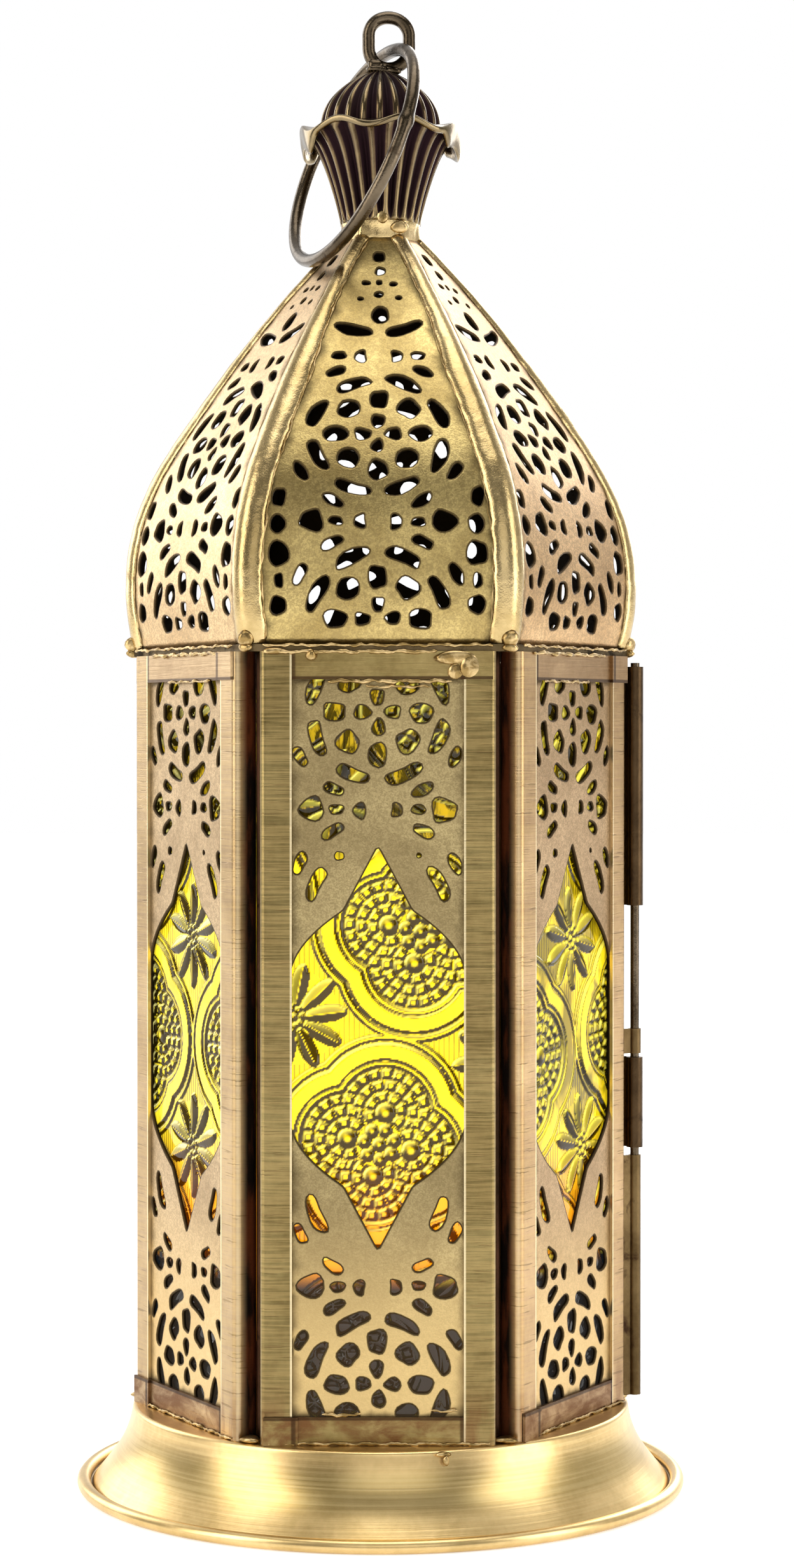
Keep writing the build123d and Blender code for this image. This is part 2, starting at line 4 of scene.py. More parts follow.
import bmesh
import bpy
import numpy as np
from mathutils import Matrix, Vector
from mathutils.geometry import delaunay_2d_cdt


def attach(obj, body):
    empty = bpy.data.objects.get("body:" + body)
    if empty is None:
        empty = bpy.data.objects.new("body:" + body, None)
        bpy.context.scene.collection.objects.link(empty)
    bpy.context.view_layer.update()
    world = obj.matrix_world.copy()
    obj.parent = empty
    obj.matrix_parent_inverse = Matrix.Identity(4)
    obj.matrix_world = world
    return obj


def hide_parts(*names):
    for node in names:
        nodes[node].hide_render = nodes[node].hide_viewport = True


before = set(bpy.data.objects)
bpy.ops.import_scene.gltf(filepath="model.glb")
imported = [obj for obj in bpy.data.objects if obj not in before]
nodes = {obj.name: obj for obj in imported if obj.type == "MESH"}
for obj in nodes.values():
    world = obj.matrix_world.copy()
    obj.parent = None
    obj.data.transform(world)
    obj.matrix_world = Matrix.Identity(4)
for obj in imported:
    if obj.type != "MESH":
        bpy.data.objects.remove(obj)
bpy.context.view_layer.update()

MM = 0.001

# ---------------------------------------------------------------- sizes of the lantern, in millimetres
APOTHEM = 39.8          # axis to the outer face of a panel
PANEL_MID = 82.5        # height of the panels' middle
PANEL_HALF = 20.1
WINDOW_HALF = 14.6
PANE_HALF = 18.9
PANE_TALL = 66.8        # half height of a plate
WINDOW_TALL = 62.7      # half height of the opening between the rails
SHEET = 0.6             # thickness of the plates and gores
DOOR_TALL = 132.8       # full height of the door's plate and pane
DOME_FOOT = 151.2
DOME_TALL = 74.3
TAN30 = tan(pi / 6)
PANELS = ["front", "front_right", "door", "back", "back_left", "front_left"]
GORES = ["front", "front_right", "back_right", "back", "back_left", "front_left"]


# ---------------------------------------------------------------- mesh helpers
def turn(points, steps):
    """Points turned about the lantern's axis by whole sides of the hexagon."""
    a = radians(60 * steps)
    c, s = cos(a), sin(a)
    spin = np.array([[c, -s, 0], [s, c, 0], [0, 0, 1]])
    return points @ spin.T


def grid_faces(rows, columns, close_rows=False, close_columns=False):
    """Quads of a rows by columns grid of vertices, wrapped round either way if asked."""
    i = np.arange(rows if close_rows else rows - 1)[:, None]
    j = np.arange(columns if close_columns else columns - 1)[None, :]
    a = i * columns + j
    b = i * columns + (j + 1) % columns
    c = ((i + 1) % rows) * columns + (j + 1) % columns
    d = ((i + 1) % rows) * columns + j
    return np.stack([np.broadcast_to(k, a.shape) for k in (a, b, c, d)], axis=-1).reshape(-1, 4)


def put_mesh(name, points, faces, body, material, slot, attributes=None):
    """A piece from points in millimetres and a list of face arrays, riding on a body, faces outward."""
    mesh = bpy.data.meshes.new(name)
    counts = np.concatenate([np.full(len(f), f.shape[1]) for f in faces])
    corners = np.concatenate([f.ravel() for f in faces])
    mesh.vertices.add(len(points))
    mesh.vertices.foreach_set("co", (points * MM).ravel())
    mesh.loops.add(len(corners))
    mesh.loops.foreach_set("vertex_index", corners.astype(np.int32))
    mesh.polygons.add(len(counts))
    starts = np.concatenate([[0], np.cumsum(counts)[:-1]])
    mesh.polygons.foreach_set("loop_start", starts.astype(np.int32))
    mesh.update(calc_edges=True)
    for key, values in (attributes or {}).items():
        layer = mesh.attributes.new(key, "FLOAT", "POINT")
        layer.data.foreach_set("value", values.astype(np.float32))
    mesh.validate()
    shell = bmesh.new()
    shell.from_mesh(mesh)
    bmesh.ops.recalc_face_normals(shell, faces=shell.faces)
    shell.to_mesh(mesh)
    shell.free()
    mesh.polygons.foreach_set("use_smooth", np.ones(len(mesh.polygons), dtype=bool))
    mesh.materials.append(material)
    piece = bpy.data.objects.new(name, mesh)
    bpy.context.scene.collection.objects.link(piece)
    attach(piece, body)
    return piece


def wave(t, seed, octaves=4):
    """A smooth uneven line of about unit height: a sum of sines with fixed phases."""
    random = np.random.RandomState(seed)
    total = np.zeros_like(t, dtype=float)
    for k in range(octaves):
        phase, stretch = random.uniform(0, 2 * pi), random.uniform(0.8, 1.25)
        total = total + np.sin(2 ** k * stretch * t + phase) / 1.5 ** k
    return total / 2.2


def bar_rings(path, along, radius, up, sides):
    """Rings of points square to a path, each centre + r (cos a across + sin a lift), and its direction."""
    along = along / np.linalg.norm(along, axis=1)[:, None]
    across = np.cross(along, up)
    across /= np.linalg.norm(across, axis=1)[:, None]
    lift = np.cross(across, along)
    a = np.arange(sides) * 2 * pi / sides
    ring = across[:, None, :] * np.cos(a)[None, :, None] + lift[:, None, :] * np.sin(a)[None, :, None]
    return (path[:, None, :] + ring * np.asarray(radius)[:, None, None]).reshape(-1, 3), along


def swept(path, radius, up, sides):
    """Points and faces of a round bar of changing radius along an open path, with closed ends."""
    rings, along = bar_rings(path, np.gradient(path, axis=0), radius, up, sides)
    first_tip = path[0] - along[0] * radius[0] * 0.5
    last_tip = path[-1] + along[-1] * radius[-1] * 0.5
    k = np.arange(sides)
    following = (k + 1) % sides
    last_ring = (len(path) - 1) * sides
    first = np.stack([following, k, np.full(sides, len(rings))], axis=1)
    last = np.stack([last_ring + k, last_ring + following, np.full(sides, len(rings) + 1)], axis=1)
    sleeve = grid_faces(len(path), sides, close_columns=True)
    return np.vstack([rings, first_tip, last_tip]), [sleeve, first, last]


def loop_bar(path, radius, up, sides):
    """Points and faces of a round bar along a closed path; up is square to the path's plane."""
    rings, _ = bar_rings(path, np.roll(path, -1, axis=0) - np.roll(path, 1, axis=0), radius, up, sides)
    return rings, [grid_faces(len(path), sides, close_rows=True, close_columns=True)]


def turned(r, z, angle):
    """A closed profile turned about the axis: x = r cos a, y = r sin a, with a row for each angle."""
    z = np.broadcast_to(z, r.shape)
    points = np.stack([r * np.cos(angle)[:, None], r * np.sin(angle)[:, None], z], axis=-1)
    return points.reshape(-1, 3), [grid_faces(*r.shape, close_rows=True, close_columns=True)]


def blob(centre, size, seed):
    """A lumpy drop: an ellipsoid whose radius swells and shrinks with fixed sines."""
    rows, columns = 9, 14
    v = np.linspace(0, pi, rows)[1:-1, None]
    u = (np.arange(columns) * 2 * pi / columns)[None, :]
    random = np.random.RandomState(seed)
    p, q = random.uniform(0, 6, 2)
    swell = 1 + 0.16 * np.sin(3 * u + p) * np.sin(v) + 0.12 * np.sin(2 * u + q + 2 * v)
    shape = np.stack([
        swell * np.sin(v) * np.cos(u),
        swell * np.sin(v) * np.sin(u),
        np.broadcast_to(np.cos(v), swell.shape),
    ], axis=-1).reshape(-1, 3)
    points = np.vstack([shape, [[0, 0, 1], [0, 0, -1]]]) * np.array(size) + np.array(centre)
    n = len(shape)
    k = np.arange(columns)
    following = (k + 1) % columns
    first = np.stack([k, following, np.full(columns, n)], axis=1)
    last = np.stack([n - columns + following, n - columns + k, np.full(columns, n + 1)], axis=1)
    return points, [grid_faces(rows - 2, columns, close_columns=True), first, last]


def joined(parts):
    """Several (points, faces) shells as one."""
    points, faces, start = [], [], 0
    for part_points, part_faces in parts:
        points.append(part_points)
        faces += [f + start for f in part_faces]
        start += len(part_points)
    return np.vstack(points), faces


# ---------------------------------------------------------------- shader helpers
class Value:
    """A number, colour or vector that changes over the surface; + - * and abs make Math nodes."""

    def __init__(self, socket):
        self.socket = socket

    def __add__(self, other):
        return calc("ADD", self, other)

    def __sub__(self, other):
        return calc("SUBTRACT", self, other)

    def __rsub__(self, other):
        return calc("SUBTRACT", other, self)

    def __mul__(self, other):
        return calc("MULTIPLY", self, other)

    def __abs__(self):
        return calc("ABSOLUTE", self)

    __radd__ = __add__
    __rmul__ = __mul__


def calc(operation, *numbers):
    """A Math node on values and plain numbers, at least one of them a value."""
    beside = next(number for number in numbers if isinstance(number, Value))
    made = new_node(beside, "ShaderNodeMath", operation=operation)
    for number, target in zip(numbers, made.inputs):
        wire(number, target)
    return Value(made.outputs[0])


def new_node(beside, kind, **settings):
    """A node in a tree, or in the tree of a value."""
    tree = beside.socket.id_data if isinstance(beside, Value) else beside
    made = tree.nodes.new(kind)
    for key, value in settings.items():
        setattr(made, key, value)
    return made


def wire(source, target):
    """Feeds a socket from a value, or sets it to a number or a colour."""
    if isinstance(source, Value):
        target.id_data.links.new(source.socket, target)
    else:
        target.default_value = (*source, 1) if isinstance(source, tuple) else source


def clamped(value):
    """The sum or product that made this value, kept between 0 and 1."""
    value.socket.node.use_clamp = True
    return value


def step_between(value, low, high):
    """0 below low, 1 above high, smooth between; low may be above high."""
    made = new_node(value, "ShaderNodeMapRange", interpolation_type="SMOOTHSTEP")
    for label, number in (("Value", value), ("From Min", low), ("From Max", high)):
        wire(number, made.inputs[label])
    return Value(made.outputs[0])


def mixed(mask, a, b):
    """Colour a where the mask is 0, b where it is 1."""
    made = new_node(mask, "ShaderNodeMix", data_type="RGBA", clamp_factor=True)
    for colour, place in ((mask, 0), (a, 6), (b, 7)):
        wire(colour, made.inputs[place])
    return Value(made.outputs[2])


def stretched(vector, scale):
    """The vector with each part multiplied."""
    made = new_node(vector, "ShaderNodeVectorMath", operation="MULTIPLY")
    wire(vector, made.inputs[0])
    made.inputs[1].default_value = scale
    return Value(made.outputs[0])


def length_of(vector):
    made = new_node(vector, "ShaderNodeVectorMath", operation="LENGTH")
    wire(vector, made.inputs[0])
    return Value(made.outputs["Value"])


def parts_of(vector):
    """The x, y and z of a vector."""
    made = new_node(vector, "ShaderNodeSeparateXYZ")
    wire(vector, made.inputs[0])
    return [Value(part) for part in made.outputs]


def noise(vector, scale, detail=3.0, rough=0.55, distortion=0.0):
    made = new_node(vector, "ShaderNodeTexNoise")
    for label, value in (("Vector", vector), ("Scale", scale), ("Detail", detail),
                         ("Roughness", rough), ("Distortion", distortion)):
        wire(value, made.inputs[label])
    return Value(made.outputs["Fac"])


def point_mark(place, name):
    """A number stored on the mesh's points."""
    return Value(new_node(place, "ShaderNodeAttribute", attribute_name=name).outputs["Fac"])


def start_group(name, outputs, **inputs):
    """An empty node group; an input's value tells its kind, and only Colour comes out as a colour."""
    tree = bpy.data.node_groups.new(name, "ShaderNodeTree")
    tree.interface.new_socket("Vector", in_out="INPUT", socket_type="NodeSocketVector")
    for key, value in inputs.items():
        kind = "NodeSocketColor" if isinstance(value, tuple) else "NodeSocketFloat"
        socket = tree.interface.new_socket(key.replace("_", " "), in_out="INPUT", socket_type=kind)
        wire(value, socket)
    for label in outputs:
        kind = "NodeSocketColor" if label == "Colour" else "NodeSocketFloat"
        tree.interface.new_socket(label, in_out="OUTPUT", socket_type=kind)
    given = {s.name: Value(s) for s in tree.nodes.new("NodeGroupInput").outputs if s.name}
    return tree, given, tree.nodes.new("NodeGroupOutput").inputs


def make_patina_group():
    """Aged brass: a light and a deep tone in soft blotches, with brown stains in patches."""
    tree, given, result = start_group(
        "aged brass", ["Colour", "Stain Mask"],
        Light=(0.6, 0.45, 0.2), Deep=(0.3, 0.2, 0.08), Stain=(0.12, 0.05, 0.02), Stain_Share=0.3)
    place = given["Vector"]
    broad = noise(place, 55, 4, 0.6, 0.4)
    fine = noise(place, 900, 2, 0.6)
    tone = clamped(step_between(broad, 0.3, 0.7) + (fine - 0.5) * 0.7)
    patches = noise(place, 130, 5, 0.62, 0.8)
    stain = clamped((patches - (0.85 - given["Stain Share"] * 0.6)) * 9)
    wire(mixed(stain, mixed(tone, given["Deep"], given["Light"]), given["Stain"]), result["Colour"])
    wire(stain, result["Stain Mask"])
    return tree


def make_brushed_group():
    """Brushed lines: noise drawn out across the lines' direction, with a few deep scratches."""
    tree, given, result = start_group("brushed lines", ["Lines", "Scratches"])
    place = given["Vector"]
    fine = noise(stretched(place, (70, 70, 3600)), 1, 3, 0.6)
    broad = noise(stretched(place, (90, 90, 1500)), 1, 2, 0.5)
    wire(fine * 0.6 + broad * 0.4, result["Lines"])
    deep = noise(stretched(place, (160, 160, 2600)), 1, 1, 0.5)
    wire(step_between(deep, 0.64, 0.72), result["Scratches"])
    return tree


def make_grain_group():
    """Grain like sand: two sizes of fine noise."""
    tree, given, result = start_group("sand grain", ["Grain"])
    fine = noise(given["Vector"], 3400, 2, 0.6)
    coarse = noise(given["Vector"], 1300, 2, 0.6)
    wire(fine * 0.6 + coarse * 0.4, result["Grain"])
    return tree


def make_spun_group():
    """Spinning marks: fine uneven rings by radius and height."""
    tree, given, result = start_group("spun marks", ["Rings"])
    x, y, z = parts_of(given["Vector"])
    radius = calc("SQRT", x * x + y * y)
    around = calc("SINE", calc("ARCTAN2", y, x))
    place = new_node(tree, "ShaderNodeCombineXYZ")
    for part, target in zip((radius * 1400, around * 2.0, z * 2200), place.inputs):
        wire(part, target)
    wire(noise(Value(place.outputs[0]), 1, 3, 0.6), result["Rings"])
    return tree


PATINA = make_patina_group()
BRUSHED = make_brushed_group()
GRAIN = make_grain_group()
SPUN = make_spun_group()


def use_group(group, vector, **values):
    """What a group puts out, by name."""
    made = new_node(vector, "ShaderNodeGroup")
    made.node_tree = group
    wire(vector, made.inputs["Vector"])
    for key, value in values.items():
        wire(value, made.inputs[key.replace("_", " ")])
    return {socket.name: Value(socket) for socket in made.outputs}


def start_material(name, **settings):
    """A material, its Principled shader's inputs and Object coordinates."""
    material = bpy.data.materials.new(name)
    material.use_nodes = True
    shader = material.node_tree.nodes["Principled BSDF"].inputs
    for key, value in settings.items():
        shader[key.replace("_", " ")].default_value = value
    place = new_node(material.node_tree, "ShaderNodeTexCoord").outputs["Object"]
    return material, shader, Value(place)


def raise_bump(shader, height, strength, distance):
    bump = new_node(height, "ShaderNodeBump")
    for label, value in (("Strength", strength), ("Distance", distance), ("Height", height)):
        wire(value, bump.inputs[label])
    wire(Value(bump.outputs["Normal"]), shader["Normal"])


def panel_place(place, steps):
    """Object coordinates turned so that this panel lies as the front one does, and their parts."""
    made = new_node(place, "ShaderNodeMapping")
    made.inputs["Rotation"].default_value = (0, 0, radians(-60 * steps))
    wire(place, made.inputs["Vector"])
    return Value(made.outputs[0]), parts_of(Value(made.outputs[0]))


def scaled(colour, factor):
    return tuple(factor * part for part in colour)


TONES = {   # panel: light and deep tone of its brass
    "front": ((0.50, 0.38, 0.15), (0.28, 0.20, 0.07)),
    "front_right": ((0.62, 0.41, 0.21), (0.42, 0.26, 0.12)),
    "front_left": ((0.64, 0.45, 0.24), (0.44, 0.29, 0.14)),
    "back": ((0.50, 0.38, 0.16), (0.30, 0.21, 0.08)),
}
for side in ("back_left", "back_right", "door"):
    TONES[side] = ((0.56, 0.40, 0.19), (0.36, 0.24, 0.10))
CHANNEL_TONE_SHARE = {"front": 0.46, "front_left": 0.68}      # panel: share of its tone, darker on the front two; 0.85 elsewhere
# near-black brown of the painted shade in the rails' creases
CREASE_SHADE = (0.05, 0.025, 0.012)
HATCH_WAVE = 7400       # fine upright lines on the glass's ground, in radians a metre


def make_channel_material(panel, steps):
    """Brushed channel: fine level lines, painted highlights on the inner lip and the outer corner, painted
    shade with red-brown flux on the sides in the groove.
    """
    light, deep = (scaled(tone, CHANNEL_TONE_SHARE.get(panel, 0.85)) for tone in TONES[panel])
    material, shader, place = start_material(f"channel brass {panel}", Metallic=1.0)
    turned_place, (x, y, z) = panel_place(place, steps)
    aged = use_group(PATINA, place, Light=light, Deep=deep, Stain=(0.10, 0.045, 0.02), Stain_Share=0.25)
    brushed = use_group(BRUSHED, turned_place)
    dull = mixed(brushed["Scratches"] * 0.6, aged["Colour"], (0.14, 0.09, 0.035))
    lines = step_between(brushed["Lines"], 0.40, 0.58)
    colour = mixed(lines * 0.24, dull, (0.60, 0.42, 0.17))
    depth = y + APOTHEM * MM
    # painted highlight along the inner lip beside the window
    inner_edge_highlight = step_between(abs(x), (WINDOW_HALF + 0.42) * MM, (WINDOW_HALF + 0.25) * MM)
    colour = mixed(inner_edge_highlight * 0.6, colour, (0.95, 0.80, 0.50))
    # painted shade on the sides deep in the groove: near black, with patches of red-brown flux
    inside = step_between(depth, 0.9 * MM, 2.6 * MM)
    flux = noise(stretched(place, (300, 300, 60)), 1, 4, 0.6)
    rust_and_groove_shade = mixed(step_between(flux, 0.42, 0.62), (0.012, 0.008, 0.006), (0.13, 0.035, 0.012))
    colour = mixed(inside, colour, rust_and_groove_shade)
    foot = step_between(z, 27 * MM, 15.5 * MM) * step_between(flux, 0.40, 0.6)
    colour = mixed(foot * 0.55, colour, (0.15, 0.05, 0.02))
    # painted highlight along the channel's outer corner
    side = step_between(abs(x), (PANEL_HALF - 0.45) * MM, (PANEL_HALF - 0.05) * MM)
    edge = side * step_between(depth, 1.2 * MM, 0.3 * MM)
    wire(mixed(edge * 0.35, colour, (0.95, 0.80, 0.52)), shader["Base Color"])
    wire(clamped(0.22 + brushed["Lines"] * 0.22 + inside * 0.4), shader["Roughness"])
    raise_bump(shader, brushed["Lines"] + brushed["Scratches"] * -0.5, 0.35, 0.00012)
    return material


def make_rail_material(panel, steps):
    """Rail: brushed along its length, red-brown flux beside the solder, painted shade in its creases along
    the plate and at the channels.
    """
    light, deep = (scaled(tone, 0.72) for tone in TONES[panel])
    material, shader, place = start_material(f"rail brass {panel}", Metallic=1.0)
    turned_place, (x, y, z) = panel_place(place, steps)
    low = step_between(z, 60 * MM, 40 * MM)
    aged = use_group(PATINA, place, Light=light, Deep=deep, Stain=(0.20, 0.10, 0.04), Stain_Share=0.3)
    flux = noise(stretched(place, (140, 140, 260)), 1, 5, 0.65, 0.6)
    stain = step_between(flux, 0.30, 0.66) * (0.12 + low * 0.78)
    colour = mixed(stain, aged["Colour"], (0.17, 0.075, 0.03))
    # painted shade along the crease where the rail meets the plate, and at its ends beside the channels
    from_middle = abs(z - PANEL_MID * MM)
    seam_shade = step_between(abs(from_middle - (WINDOW_TALL + 0.25) * MM), 0.42 * MM, 0.15 * MM)
    colour = mixed(seam_shade * 0.85, colour, CREASE_SHADE)
    end_shade = step_between(abs(x), (WINDOW_HALF - 0.9) * MM, (WINDOW_HALF - 0.4) * MM)
    end_shade = end_shade * step_between(abs(x), (WINDOW_HALF + 0.3) * MM, WINDOW_HALF * MM)
    wire(mixed(end_shade * 0.8, colour, CREASE_SHADE), shader["Base Color"])
    lines = noise(stretched(turned_place, (60, 60, 2200)), 1, 3, 0.6)
    wire(0.24 + lines * 0.2 + stain * 0.2, shader["Roughness"])
    raise_bump(shader, lines + flux * 1.2, 0.35, 0.00018)
    return material


def make_pierced_material(name, panel, dome=False):
    """Pierced sheet: sand grain, darker round each punched hole, painted shade along the covered border,
    nearly black on the inside.
    """
    light, deep = TONES[panel]
    material, shader, place = start_material(name, Metallic=1.0)
    # the dome's sheets are painted 1.2 times lighter, a painted brightness for the highlights on the dome
    if dome:
        light, deep = scaled(light, 1.2), scaled(deep, 1.2)
    else:
        light = tuple(0.80 * a + 0.20 * b for a, b in zip(light, (0.36, 0.34, 0.30)))
        deep = tuple(0.80 * a + 0.20 * b for a, b in zip(deep, (0.28, 0.26, 0.22)))
    aged = use_group(PATINA, place, Light=light, Deep=deep, Stain=(0.13, 0.085, 0.035), Stain_Share=0.22)
    grain = use_group(GRAIN, place)["Grain"]
    inner = point_mark(place, "inner")
    speckle = mixed(step_between(grain, 0.60, 0.42) * 0.45, aged["Colour"], (0.17, 0.12, 0.05))
    # darker round each punched hole; along the covered border, where a plate meets its channels and rails and
    # a gore its ribs, a painted shade
    halo = step_between(point_mark(place, "from_hole"), 0.75, 0.25)
    shadow = step_between(point_mark(place, "from_edge"), 1.0, 0.0)
    darkening = calc("MAXIMUM", halo * 0.9, shadow * 0.8)
    low = step_between(parts_of(place)[2], 60 * MM, 26 * MM)
    sheet = mixed(low * 0.56, speckle, (0.86, 0.61, 0.26))
    colour = mixed(darkening, sheet, (0.036, 0.022, 0.010))
    wire(mixed(inner, colour, (0.016, 0.012, 0.008)), shader["Base Color"])
    rough = (0.27 if dome else 0.38) + grain * 0.14 + darkening * 0.2
    wire(clamped(rough + inner * 0.4), shader["Roughness"])
    raise_bump(shader, grain, 0.45 if dome else 0.6, 0.00012)
    return material


def make_plain_brass(name, light, deep, stain, share, rough, bump=0.3):
    """Aged brass with soft blotches, fine grain and stains."""
    material, shader, place = start_material(name, Metallic=1.0)
    aged = use_group(PATINA, place, Light=light, Deep=deep, Stain=stain, Stain_Share=share)
    grain = use_group(GRAIN, place)["Grain"]
    wire(aged["Colour"], shader["Base Color"])
    wire(clamped(rough + grain * 0.12 + aged["Stain Mask"] * 0.2), shader["Roughness"])
    raise_bump(shader, grain + noise(place, 260, 3, 0.5) * 3, bump, 0.00015)
    return material


def make_fluted_material():
    """Fluted finial: polished olive ridges with a thin painted highlight along their tops, over nearly black
    grooves, by the depth in the flute.
    """
    material, shader, place = start_material("fluted finial brass", Metallic=1.0)
    aged = use_group(PATINA, place, Light=(0.21, 0.150, 0.068), Deep=(0.08, 0.052, 0.028),
                     Stain=(0.06, 0.03, 0.02), Stain_Share=0.35)
    ridge = point_mark(place, "ridge")
    dark = step_between(ridge, 0.96, 0.72)
    colour = mixed(dark * 0.97, aged["Colour"], (0.018, 0.008, 0.011))
    # painted highlight along the tops of the ridges
    wire(mixed(step_between(ridge, 0.95, 1.0) * 0.10, colour, (0.85, 0.70, 0.40)), shader["Base Color"])
    wire(0.20 + dark * 0.45, shader["Roughness"])
    raise_bump(shader, noise(place, 500, 3, 0.6), 0.25, 0.0002)
    return material


def make_spun_material():
    """Spun base: bright shoulder, the middle of the hollow flare painted darker olive as painted shade,
    polished foot, a painted shade line in the groove above the rolled rim.
    """
    material, shader, place = start_material("spun base brass", Metallic=1.0)
    z = parts_of(place)[2]
    aged = use_group(PATINA, place, Light=(0.84, 0.60, 0.27), Deep=(0.60, 0.41, 0.16),
                     Stain=(0.20, 0.08, 0.03), Stain_Share=0.08)
    rings = use_group(SPUN, place)["Rings"]
    # painted shade: the middle of the hollow flare darker olive
    middle = step_between(z, 4 * MM, 7 * MM) * step_between(z, 13 * MM, 10 * MM)
    colour = mixed(middle * 0.55, aged["Colour"], (0.42, 0.31, 0.11))
    colour = mixed(step_between(rings, 0.42, 0.60) * 0.16, colour, (0.95, 0.78, 0.42))
    # painted shade in the groove between the flare and the rolled rim
    seat = step_between(abs(z - 0.9 * MM), 0.45 * MM, 0.15 * MM)
    seat = seat * step_between(length_of(place), 53.3 * MM, 52.8 * MM)
    wire(mixed(seat * 0.8, colour, (0.10, 0.055, 0.02)), shader["Base Color"])
    wire(0.24 + rings * 0.14, shader["Roughness"])
    raise_bump(shader, rings, 0.2, 0.0001)
    return material


def make_solder_material():
    """Solder: gold-toned metal with brown flux in its hollows."""
    material, shader, place = start_material("solder", Metallic=1.0)
    patches = noise(place, 420, 4, 0.6, 0.5)
    colour = mixed(step_between(patches, 0.40, 0.62), (0.26, 0.17, 0.06), (0.58, 0.42, 0.20))
    darkening = step_between(noise(place, 800, 3, 0.6), 0.66, 0.74)
    wire(mixed(darkening * 0.7, colour, (0.10, 0.05, 0.02)), shader["Base Color"])
    wire(0.20 + patches * 0.25, shader["Roughness"])
    raise_bump(shader, patches, 0.4, 0.0003)
    return material


def make_glass_material(name, steps, body_tone, gleam_tone, patch_shade, clear, painted_glow):
    """Yellow pressed glass with a painted glow for the light through it: amber low down, painted shade on
    steep relief, in patches, high up, at the foot and under the channels, and a painted highlight facing the
    light.
    """
    material, shader, place = start_material(
        name, Metallic=0.0, Transmission_Weight=clear, IOR=1.46, Specular_IOR_Level=0.2,
        Emission_Strength=painted_glow)
    _, (x, y, z) = panel_place(place, steps)
    hatch = step_between(calc("SINE", x * HATCH_WAVE), 0.0, 0.9) * point_mark(place, "ground")
    patches = noise(stretched(place, (120, 120, 70)), 1, 3, 0.6, 1.0)
    streaks = step_between(noise(stretched(place, (420, 420, 160)), 1, 3, 0.6, 1.5), 0.45, 0.6)
    low = step_between(z, 68 * MM, 50 * MM)
    red, green, blue = scaled(body_tone, 0.9)
    # painted shade in soft dark patches, strongest on the side panes
    body = mixed(step_between(patches, 0.42, 0.60) * patch_shade, body_tone, (0.05, 0.042, 0.004))
    body = mixed(low, body, (red, green * 0.55, blue))
    # high up the glass is painted darker with brighter streaks, a painted shade
    high = mixed(streaks, (0.06, 0.042, 0.002), (0.52, 0.35, 0.012))
    body = mixed(step_between(z, 112 * MM, 120 * MM), body, high)
    darks = mixed(low, (0.012, 0.008, 0.0005), (0.035, 0.010, 0.0005))
    # painted shade on steep relief, with the hatching's dark lines, then a painted highlight on slopes facing
    # the light
    colour = mixed(calc("MAXIMUM", point_mark(place, "steep"), hatch * 0.6), body, darks)
    colour = mixed(point_mark(place, "gleam"), colour, gleam_tone)
    # painted shade low on the pane's outer face
    outer = step_between(y, -(APOTHEM - 3.2) * MM, -(APOTHEM - 2.4) * MM)
    foot = step_between(z, 47 * MM, 41 * MM) * outer
    colour = mixed(foot, colour, (0.008, 0.012, 0.016))
    # painted shade on the pane's edges under the channels
    covered = step_between(abs(x), 15.2 * MM, 16.2 * MM)
    colour = mixed(covered, colour, (0.006, 0.005, 0.002))
    wire(colour, shader["Base Color"])
    # painted glow: the glass gives off its own colour as if lit through
    wire(colour, shader["Emission Color"])
    wire(0.04 + patches * 0.08, shader["Roughness"])
    raise_bump(shader, noise(place, 300, 3, 0.5), 0.2, 0.0002)
    return material


# ---------------------------------------------------------------- punched pattern
Hole = namedtuple("Hole", "x y angle along across taper bend", defaults=(0, 0))
LIP = 0.12              # width of the pressed-in lip round a hole
RING = 0.5              # width of the finely meshed ring round a hole


def ring_holes(angles, radius, along, across, taper=0.0):
    """Holes round a rosette; those longer than wide are bent to follow its ring."""
    bend = (along / 2) ** 2 / (2 * radius) if along > across else 0.0
    return [
        Hole(radius * cos(radians(a)), radius * sin(radians(a)), a - 90, along, across, taper, bend)
        for a in angles]


def rosette_holes():
    """One rosette about its centre: a cross of wedges inside three rings of holes."""
    quarter, diagonal = [0, 90, 180, 270], [45, 135, 225, 315]
    return (
        ring_holes(quarter, 2.5, 1.9, 2.5, 0.35)
        + ring_holes(quarter, 7.2, 3.0, 3.7, 0.08)
        + ring_holes(diagonal, 7.2, 3.7, 3.3, 0.12)
        + ring_holes([22.5 + 45 * k for k in range(8)], 11.5, 6.2, 2.1)
        + ring_holes([a + b for a in quarter for b in (30, 60)], 15.2, 3.6, 1.6)
    )


def row_holes():
    """The row half way between two rosettes."""
    pair = [0, 180]
    return (
        ring_holes(pair, 3.2, 2.4, 1.7, -0.2)
        + ring_holes(pair, 6.95, 1.4, 2.2)
        + ring_holes(pair, 11.4, 3.7, 3.9, -0.3)
    )


def moved(holes, y):
    return [hole._replace(y=hole.y + y) for hole in holes]


def hole_reach(hole):
    """How far a hole reaches from its middle, across and up."""
    c, s = abs(cos(radians(hole.angle))), abs(sin(radians(hole.angle)))
    return (c * hole.along + s * hole.across) / 2, (s * hole.along + c * hole.across) / 2


